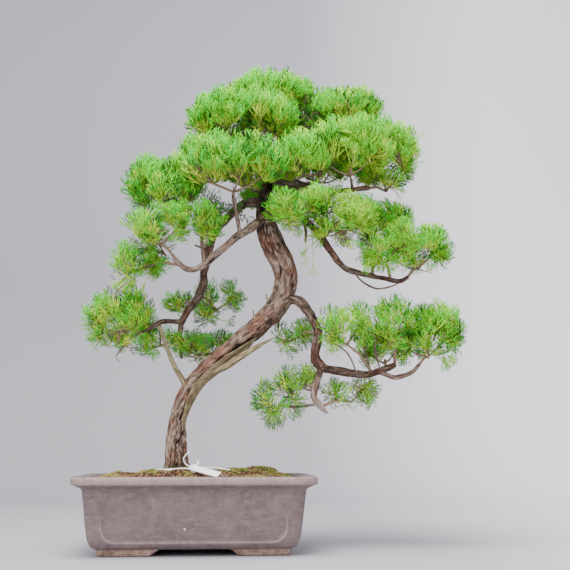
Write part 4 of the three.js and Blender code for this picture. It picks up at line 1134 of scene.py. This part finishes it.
def pot_body():
    """The wall from the foot ring up over the rim and down inside, and the drilled floor."""
    outside = evened(rounded(POT_OUTSIDE + POT_INSIDE[:2], 3), ROW_STEP)
    profile = np.vstack([outside, evened(np.array(POT_INSIDE[1:], float), 6)[1:]])
    columns = outline_columns(12, (130, 84))
    body = Growth()
    worn = []
    for row, (inset, z) in enumerate(profile):
        xs, ys = outline_points(inset, columns)
        outer = row < len(outside) and z < PANEL_SPAN[1] + 4
        for x, y, (_, _, facing) in zip(xs, ys, columns):
            edge = from_panel(x, y, z, facing) if outer and inset > 14 else 99.0
            depth = PANEL_DEPTH * (1 - smooth_step(edge, -PANEL_EDGE, 0))
            body.points.append((x - depth * math.cos(facing), y - depth * math.sin(facing), z))
            # Paler along the panels' lower edges, round the lip and low on the corners: partly wear, partly
            # painted highlight where these edges catch the light.
            low = 1 - smooth_step(z, 30, 72)
            rubbed_and_lit = low * math.exp(-((edge - 0.4) / 1.6) ** 2) + 0.8 * (inset < 3)
            worn.append(rubbed_and_lit + 0.4 * low * abs(math.sin(2 * facing)) ** 3)
    count = len(columns)
    body.faces += band_faces(0, len(profile), count)
    last = (len(profile) - 1) * count
    rings = {}
    for side in (-1, 1):
        for z in (POT_INSIDE[-1][1], POT_OUTSIDE[0][1]):
            first = len(body.points)
            for k in range(DRAIN_SIDES):
                turn = 2 * math.pi * k / DRAIN_SIDES
                body.points.append((side * DRAIN_PLACE + DRAIN_RADIUS * math.cos(turn),
                                    DRAIN_RADIUS * math.sin(turn), z))
                worn.append(0.3)
            rings[side, z] = list(range(first, first + DRAIN_SIDES))
        upper, lower = rings[side, POT_INSIDE[-1][1]], rings[side, POT_OUTSIDE[0][1]]
        for k in range(DRAIN_SIDES):
            after = (k + 1) % DRAIN_SIDES
            body.faces.append((upper[k], upper[after], lower[after], lower[k]))
    for start, z, upward in ((last, POT_INSIDE[-1][1], True), (0, POT_OUTSIDE[0][1], False)):
        body.faces += plate_faces(body.points, list(range(start, start + count)),
                                  [rings[-1, z], rings[1, z]], upward)
    return body, worn


def arch_edge(half, z):
    """Where a foot's end is at a height: upright at the ground, then curving in to the pot's underside."""
    t = 1 - math.sqrt(1 - min(max(z / 10, 0), 0.99))
    return half - 6 * t * (1 - t) - ARCH_CURVE * t * t


def pot_feet(body, worn):
    section = evened(rounded(FOOT_SECTION, 2), 1.5)
    straight = np.linspace(0, 1, 34)
    arc = np.linspace(0, math.pi / 2, 9)[1:-1]
    for mirror_x in (-1, 1):
        for mirror_y in (-1, 1):
            stations = [("side", t, 0.0) for t in straight] + [("arc", 0.0, a) for a in arc]
            stations += [("front", 1 - t, math.pi / 2) for t in straight]
            first = len(body.points)
            for kind, share, facing in stations:
                for inset, z in section:
                    radius = SHARPEST_CORNER
                    x = POT_LENGTH / 2 - inset - radius
                    y = POT_WIDTH / 2 - inset - radius
                    if kind == "side":
                        y = arch_edge(SIDE_ARCH, z) + share * (y - arch_edge(SIDE_ARCH, z))
                    if kind == "front":
                        x = arch_edge(FRONT_ARCH, z) + share * (x - arch_edge(FRONT_ARCH, z))
                    x, y = x + radius * math.cos(facing), y + radius * math.sin(facing)
                    chip = 0.5 * max(0, noise.noise((mirror_x * x / 6, mirror_y * y / 6, z / 4 + 9)) - 0.15)
                    body.points.append((mirror_x * (x - chip), mirror_y * (y - chip), z))
                    worn.append(2.0)
            rows, turned = len(section), mirror_x * mirror_y > 0
            strips = band_faces(first, len(stations), rows)
            strips.append(tuple(first + k for k in range(rows - 1, -1, -1)))
            strips.append(tuple(first + (len(stations) - 1) * rows + k for k in range(rows)))
            body.faces += [face[::-1] for face in strips] if turned else strips


def pot_material():
    """Unglazed stoneware: a matt purple-brown clay, paler where wear and painted highlights lie along its
    edges, with lime stains and chips.
    """
    material, tree, shader = surface("unglazed stoneware", 0.72, 0.35)
    place = add(tree, "ShaderNodeTexCoord", output="Object")
    worn = add(tree, "ShaderNodeAttribute", output="Fac", attribute_name="worn")
    brushed = add(tree, "ShaderNodeMapping", {"Vector": place, "Scale": (0.22, 0.22, 1)})
    stain = add(tree, "ShaderNodeMapping", {"Vector": place, "Scale": (1, 1, 0.4), "Location": (0.3, 0, 0)})
    clouds, mottle, strokes, grit, lime = (
        add(tree, "ShaderNodeTexNoise", {"Vector": way, "Scale": 1 / size, "Detail": fine,
                                         "Roughness": rough})
        for way, size, fine, rough in (
            (place, 0.05, 3, 0.6), (place, 0.009, 4, 0.7), (brushed, 0.004, 3, 0.6), (place, 0.0011, 2, 0.5),
            (stain, 0.028, 4, 0.65)))
    clay = add(tree, "ShaderNodeValToRGB", {"Fac": clouds},
               stops=((0.3, "#665758"), (0.5, "#715f5f"), (0.7, "#7b6a65")))
    rubbed_and_lit = add(tree, "ShaderNodeMapRange", {"Value": mottle, "From Min": 0.05, "From Max": 0.6},
                 interpolation_type="SMOOTHSTEP")
    rubbed_and_lit = add(tree, "ShaderNodeMath", {0: rubbed_and_lit, 1: 0.85}, operation="MULTIPLY")
    unglazed = add(tree, "ShaderNodeValToRGB", {"Fac": mottle},
                   stops=((0.36, "#6b564c"), (0.5, "#94796b"), (0.66, "#b0958a")))
    cell = add(tree, "ShaderNodeTexVoronoi", {"Vector": place, "Scale": 38.0}, "Color")
    picked = add(tree, "ShaderNodeSeparateColor", {"Color": cell})
    picked = add(tree, "ShaderNodeMapRange", {"Value": picked, "From Min": 0.8, "From Max": 0.82},
                 interpolation_type="SMOOTHSTEP")
    clay = layered(tree, clay, [
        (mottle, 0.4, 0.7, 0.6, "#86777a"),
        (strokes, 0.45, 0.7, 0.35, "#93837c"),
        (lime, 0.58, 0.74, 0.5, "#8f8b7a"),
        # Paler along the edges: partly wear, partly painted highlight.
        (worn, 0.1, 1.1, rubbed_and_lit, "#a8928e"),
        (worn, 1.5, 1.9, 1, unglazed),
        (cell.node.outputs["Distance"], 0.075, 0.055, picked, "#d2ccc6"),
        (grit, 0.66, 0.74, 1, "#5c5051"),
    ])
    relief = add(tree, "ShaderNodeMath", {0: grit, 1: 0.4, 2: mottle}, operation="MULTIPLY_ADD")
    dress(tree, shader, clay, relief, 0.0005)
    return material


def make_pot():
    body, worn = pot_body()
    pot_feet(body, worn)
    mesh = body.mesh("stoneware_pot")
    numbers_on(mesh, "worn", "FLOAT", worn)
    piece("stoneware_pot", mesh, ["pot"], pot_material())


# The soil: earth that follows the mounds, with loose grains and cushions of moss.

SOIL_EDGE = 105
SOIL_INSET = 23
SOIL_SLOPE = 40
MOUNDS = [(-24, -32, 66, 80, 14), (92, 22, 78, 54, 13.4), (-118, 8, 34, 46, 7)]
SOIL_GRID = (116, 78)
WALL_INSET = 22.2  # of the pot's inside where the soil meets it
WALL_GAP = 0.8
GRAINS = 5200
MOSS_CLUMPS = 1700
TRUNK_FOOT = (-31, 0)
GRAIN_CLEARANCE = 19  # from the trunk's middle
NEEDLE_CLEARANCE = 24
SOIL_SEED = 77
GRAIN_COLOURS = {"brown": "#5f4636", "russet": "#8a6048", "tan": "#b39b7b", "dark": "#3d2f27"}
GRAIN_DEAL = (0.45, 0.25, 0.12, 0.18)
MOSS_COLOURS = {"lime": "#87933b", "green": "#536a2a", "gold": "#ad9a5a"}
MOSS_DEAL = (0.38, 0.27, 0.35)
DRY_MOSS_DEAL = (0.14, 0.14, 0.72)
DRY_MOSS_EDGE = -76  # to the left of this the moss is straw-coloured
NEEDLES = 520

# Cushions of moss: the middle and the radius of each.
MOSS_CUSHIONS = [
    (100, 30, 30), (60, -10, 26), (122, -24, 26), (88, -70, 24), (-128, -58, 24),
    (-14, 44, 26), (-96, 60, 26), (46, 66, 24), (-128, 22, 22), (-70, -28, 22), (-55, -8, 15), (-7, -12, 14),
]
MOSS_HEIGHT = 3.4


def soil_height(x, y):
    to_edge = min(POT_LENGTH / 2 - abs(x), POT_WIDTH / 2 - abs(y)) - SOIL_INSET
    rise = sum(h * math.exp(-((x - mx) / rx) ** 2 - ((y - my) / ry) ** 2) for mx, my, rx, ry, h in MOUNDS)
    return SOIL_EDGE + smooth_step(to_edge, 0, SOIL_SLOPE) * rise + MOSS_HEIGHT * on_cushion(x, y)


def on_cushion(x, y):
    """1 on the middle of a cushion of moss, falling to 0 at its edge."""
    return max(1 - smooth_step(math.hypot(x - mx, y - my), 0.4 * r, r) for mx, my, r in MOSS_CUSHIONS)


def soil_place(u, v, inset):
    """A place on a square from -1 to 1, drawn out to the pot's inside with its round corners."""
    radius = max(CORNER_RADIUS - inset, SHARPEST_CORNER)
    x, y = abs(u) * (POT_LENGTH / 2 - inset), abs(v) * (POT_WIDTH / 2 - inset)
    dx, dy = x - (POT_LENGTH / 2 - inset - radius), y - (POT_WIDTH / 2 - inset - radius)
    if dx > 0 and dy > 0:
        pull = max(dx, dy) / math.hypot(dx, dy)
        x, y = x - dx + dx * pull, y - dy + dy * pull
    return math.copysign(x, u), math.copysign(y, v)


def moss_at(x, y):
    """How thickly moss grows at a place, from 0 to 1: all over the cushions, and thinly round them."""
    thin = 0.35 + 0.9 * noise.noise((x / 16, y / 16, 3))
    return min(max(1.4 * on_cushion(x, y) + thin - 0.25, 0), 1)


def soil_surface(x, y):
    rough = 1.0 * noise.noise((x / 9, y / 9, 1)) + 0.6 * noise.noise((x / 3.4, y / 3.4, 5))
    return soil_height(x, y) + rough - 1.2


def soil_material():
    """Damp volcanic grit: dark brown crumbs with reddish and tan ones among them."""
    material, tree, shader = surface("bonsai soil", 0.95, 0.2)
    place = add(tree, "ShaderNodeTexCoord", output="Object")
    crumb = add(tree, "ShaderNodeTexVoronoi", {"Vector": place, "Scale": 360.0}, "Color")
    kind = add(tree, "ShaderNodeSeparateColor", {"Color": crumb})
    earth = add(tree, "ShaderNodeValToRGB", {"Fac": kind},
                stops=((0.1, "#2c221b"), (0.45, "#4e3a2d"), (0.75, "#6b4e3d"), (0.95, "#8f775c")))
    dress(tree, shader, earth, crumb.node.outputs["Distance"], 0.001)
    return material


def pebble_kind(seed):
    """A crumb of about one unit: a ball of twenty faces with its corners pushed in and out."""
    chance = seeded(seed)
    ball = bmesh.new()
    bmesh.ops.create_icosphere(ball, subdivisions=1, radius=0.5)
    for corner in ball.verts:
        corner.co *= 0.75 + 0.5 * chance()
        corner.co.z *= 0.8
    mesh = bpy.data.meshes.new("crumb")
    ball.to_mesh(mesh)
    ball.free()
    return mesh


def moss_kind(seed):
    """A clump of moss of about one unit: short pointed stems that lean apart."""
    chance = seeded(seed)
    clump = Growth()
    for i in range(12):
        turn = i * GOLDEN_ANGLE
        out = 0.12 * math.sqrt(i)
        foot = Vector((out * math.cos(turn), out * math.sin(turn), -0.15))
        tip = foot * 1.5 + UP * (0.5 + 0.35 * chance())
        clump.thread([foot, tip], [0.1])
    return soft_mesh("moss_clump", clump.points, clump.faces)


def make_earth():
    """The top follows the mounds, and the sides and the bottom follow the pot's inside."""
    across, deep = SOIL_GRID
    earth = Growth()
    for j in range(deep + 1):
        for i in range(across + 1):
            x, y = soil_place(2 * i / across - 1, 2 * j / deep - 1, WALL_INSET + WALL_GAP)
            earth.points.append((x, y, soil_surface(x, y)))
    earth.faces = band_faces(0, deep + 1, across + 1, closed=False)
    edge = [(i, 0) for i in range(across)] + [(across, j) for j in range(deep)]
    edge += [(i, deep) for i in range(across, 0, -1)] + [(0, j) for j in range(deep, 0, -1)]
    ring = [j * (across + 1) + i for i, j in edge]
    for inset, z in POT_INSIDE[2:]:
        below = [len(earth.points) + k for k in range(len(edge))]
        for i, j in edge:
            x, y = soil_place(2 * i / across - 1, 2 * j / deep - 1, inset + WALL_GAP)
            earth.points.append((x, y, z + 0.3))
        for k in range(len(edge)):
            after = (k + 1) % len(edge)
            earth.faces.append((ring[after], ring[k], below[k], below[after]))
        ring = below
    earth.faces.append(tuple(ring[::-1]))
    piece("earth", earth.mesh("earth"), ["soil"], soil_material())


def make_soil(tree):
    make_earth()
    chance = seeded(SOIL_SEED)
    grains = {name: Planting() for name in GRAIN_COLOURS}
    moss = {name: Planting() for name in MOSS_COLOURS}
    for wanted, is_moss in ((GRAINS, False), (MOSS_CLUMPS, True)):
        planted = 0
        while planted < wanted:
            x, y = soil_place(2 * chance() - 1, 2 * chance() - 1, SOIL_INSET + 2)
            near_trunk = math.hypot(x - TRUNK_FOOT[0], y - TRUNK_FOOT[1]) < GRAIN_CLEARANCE
            cover = moss_at(x, y)
            if near_trunk or (cover < 0.3 if is_moss else cover > 0.3 + 0.5 * chance()):
                continue
            planted += 1
            aim = tilted(UP, 0.35 * chance(), 6.3 * chance())
            place = (x, y, soil_surface(x, y) + (0.2 if is_moss else 0.4))
            moss_deal = DRY_MOSS_DEAL if x < DRY_MOSS_EDGE else MOSS_DEAL
            names, deal = (MOSS_COLOURS, moss_deal) if is_moss else (GRAIN_COLOURS, GRAIN_DEAL)
            name = dealt(deal, list(names), chance())
            size = 3.0 + 2.2 * chance() if is_moss else 2.0 + 2.4 * chance() ** 2
            (moss if is_moss else grains)[name].place(place, aim, 6.3 * chance(), size, int(5 * chance()))
    litter = Growth()
    while len(litter.points) < NEEDLES * 8:
        x, y = soil_place(2 * chance() - 1, 2 * chance() - 1, SOIL_INSET + 5)
        turn, length = 6.3 * chance(), 5 + 7 * chance()
        if math.hypot(x - TRUNK_FOOT[0], y - TRUNK_FOOT[1]) < NEEDLE_CLEARANCE:
            continue
        lie = Vector((math.cos(turn), math.sin(turn), 0.3 * (chance() - 0.3)))
        foot = Vector((x, y, soil_surface(x, y) + 1.4))
        litter.thread([foot - 0.5 * length * lie, foot + 0.5 * length * lie], [0.42])
    dead = surface("dead juniper needles", 0.9, 0.2, "#85644a")[0]
    piece("dead_needles", litter.mesh("dead_needles"), ["soil"], dead)
    for word, label, rough, plantings, colours, shape, seed in (
            ("grains", "soil crumb", 0.95, grains, GRAIN_COLOURS, pebble_kind, 61),
            ("moss", "moss", 0.9, moss, MOSS_COLOURS, moss_kind, 81)):
        looks = {name: surface(f"{label}, {name}", rough, 0.2, code)[0] for name, code in colours.items()}
        plant(tree, word, plantings, [shape(seed + i) for i in range(5)], looks, ["soil"])


# The label: a blank plate, and the white wire tie that is twisted round its end.

LABEL_KNOT = (-3, -66, 120.2)
LABEL_START = (-8, -62, 122.6)
LABEL_END = (33, -106, 112.6)
LABEL_LENGTH = 62
LABEL_WIDTH = 11
LABEL_TILT = 0.62  # in radians, towards the front
LABEL_THICKNESS = 1.2
KNOT_WIRE = 1.6
WIRE_ENDS = [
    (1.1, [(-21, -65, 120.5), (-40, -67, 119.5), (-58, -64, 119)]),
    (0.9, [(-26, -65.5, 120.4), (-34, -72, 119), (-42, -77, 117.6)]),
    (1.0, [(-15, -58, 127), (-18, -58, 135), (-9, -56, 146)]),
    (1.1, [(16, -61, 121.6), (33, -60, 120.6), (50, -66, 118)]),
    (1.8, [(2, -63, 126), (5, -62, 132)]),
]


def make_label():
    start, end = Vector(LABEL_START), Vector(LABEL_END)
    along = (end - start).normalized()
    across = Quaternion(along, LABEL_TILT) @ UP.cross(along).normalized()
    facing = along.cross(across)
    middle = (start + end) / 2
    outline = []
    corner = 2.2
    for quarter, (sx, sy) in enumerate(((1, 1), (-1, 1), (-1, -1), (1, -1))):
        for t in range(6):
            turn = (quarter + t / 5) * math.pi / 2
            outline.append((sx * (LABEL_LENGTH / 2 - corner) + corner * math.cos(turn),
                            sy * (LABEL_WIDTH / 2 - corner) + corner * math.sin(turn)))
    label = Growth()
    points = []
    for level, shrink in ((-0.5, 0.96), (-0.3, 1.0), (0.3, 1.0), (0.5, 0.96)):
        for a, b in outline:
            inward = LABEL_WIDTH / 2 * (1 - shrink)
            a2, b2 = a - math.copysign(inward, a), b - math.copysign(inward, b)
            bow = 0.5 * math.cos(math.pi * a / LABEL_LENGTH)
            points.append(middle + a2 * along + b2 * across + (level * LABEL_THICKNESS + bow) * facing)
    n = len(outline)
    faces = band_faces(0, 4, n)
    faces += [tuple(range(n - 1, -1, -1)), tuple(3 * n + k for k in range(n))]
    label.add(points, faces)
    for radius, ends in WIRE_ENDS:
        path = [(*LABEL_KNOT, radius)] + [(*p, radius) for p in ends]
        line, length = even_line(path, 2)
        twist = [
            Vector(p[:3]) + 0.35 * radius * Vector((math.sin(1.7 * s), math.cos(1.7 * s), math.sin(s + 1)))
            for p, s in zip(line, length)]
        label.thread(twist, [radius * 0.85] * len(twist), 8)
    knot = Vector(LABEL_KNOT)
    for i in range(4):
        axis = tilted(facing, 0.9, 1.6 * i)
        side = axis.orthogonal().normalized()
        over = axis.cross(side)
        loop = [
            knot + (3.2 + 0.5 * i) * (math.cos(t) * side + math.sin(t) * over) + 0.5 * t * axis - 1.5 * axis
            for t in np.linspace(0, 6.6, 22).tolist()]
        label.thread(loop, [KNOT_WIRE] * len(loop), 8)
    white = surface("white plastic label", 0.4, 0.5, "#ffffff")[0]
    piece("blank_label", label.mesh("blank_label"), ["label"], white)


# Stage: a pale floor that curves up behind, with painted light that brightens it to the right, and soft
# light from above and in front.

FLOOR_REACH = 9.0  # metres, as all sizes of the stage are
BEND_START = 1.4
BEND_RADIUS = 0.8
WALL_TOP = 4.0
LAMP_TARGET = (0, 0, 0.4)
LAMPS = [("sky", (-0.3, -0.6, 2.4), 96, 1.4), ("front", (-1.3, -2.2, 1.3), 44, 1.6)]  # place, watts, size


def set_stage():
    points = []
    profile = [(-FLOOR_REACH, 0.0), (BEND_START, 0.0)]
    profile += [(BEND_START + BEND_RADIUS * math.sin(a), BEND_RADIUS - BEND_RADIUS * math.cos(a))
                for a in np.linspace(0.1, math.pi / 2, 12)]
    profile.append((BEND_START + BEND_RADIUS, WALL_TOP))
    for y, z in profile:
        points += [(-FLOOR_REACH, y, z), (FLOOR_REACH, y, z)]
    material, tree, shader = surface("matt paper", 0.9, 0.2)
    # The floor's colour runs from grey at the left to near white at the right: painted light.
    spot = add(tree, "ShaderNodeTexCoord", output="Object")
    across = add(tree, "ShaderNodeSeparateXYZ", {"Vector": spot}, "X")
    across = add(tree, "ShaderNodeMapRange", {"Value": across, "From Min": -1.2, "From Max": 1.6},
                 interpolation_type="SMOOTHSTEP")
    tint = add(tree, "ShaderNodeValToRGB", {"Fac": across},
               stops=((0.1, "#aaa9b0"), (0.52, "#b3b1b8"), (0.9, "#f4f2fa")))
    tree.links.new(tint, shader.inputs["Base Color"])
    mesh = soft_mesh("floor", points, band_faces(0, len(profile), 2, closed=False))
    mesh.materials.append(material)
    floor = linked("floor", mesh)

    world = bpy.data.worlds.new("room")
    world.use_nodes = True
    world.node_tree.nodes["Background"].inputs["Color"].default_value = shade("#eef0f4")
    world.node_tree.nodes["Background"].inputs["Strength"].default_value = 1.3
    bpy.context.scene.world = world
    for name, place, power, size in LAMPS:
        lamp = bpy.data.lights.new(name, "AREA")
        lamp.energy = power
        lamp.size = size
        lamp.color = (1.0, 0.98, 0.95)
        light = linked(name, lamp)
        light.location = place
        light.rotation_euler = (Vector(LAMP_TARGET) - Vector(place)).to_track_quat("-Z", "Y").to_euler()


set_camera()
grow_wood()
planting = planting_tree()
grow_foliage(planting)
make_pot()
make_soil(planting)
make_label()
set_stage()
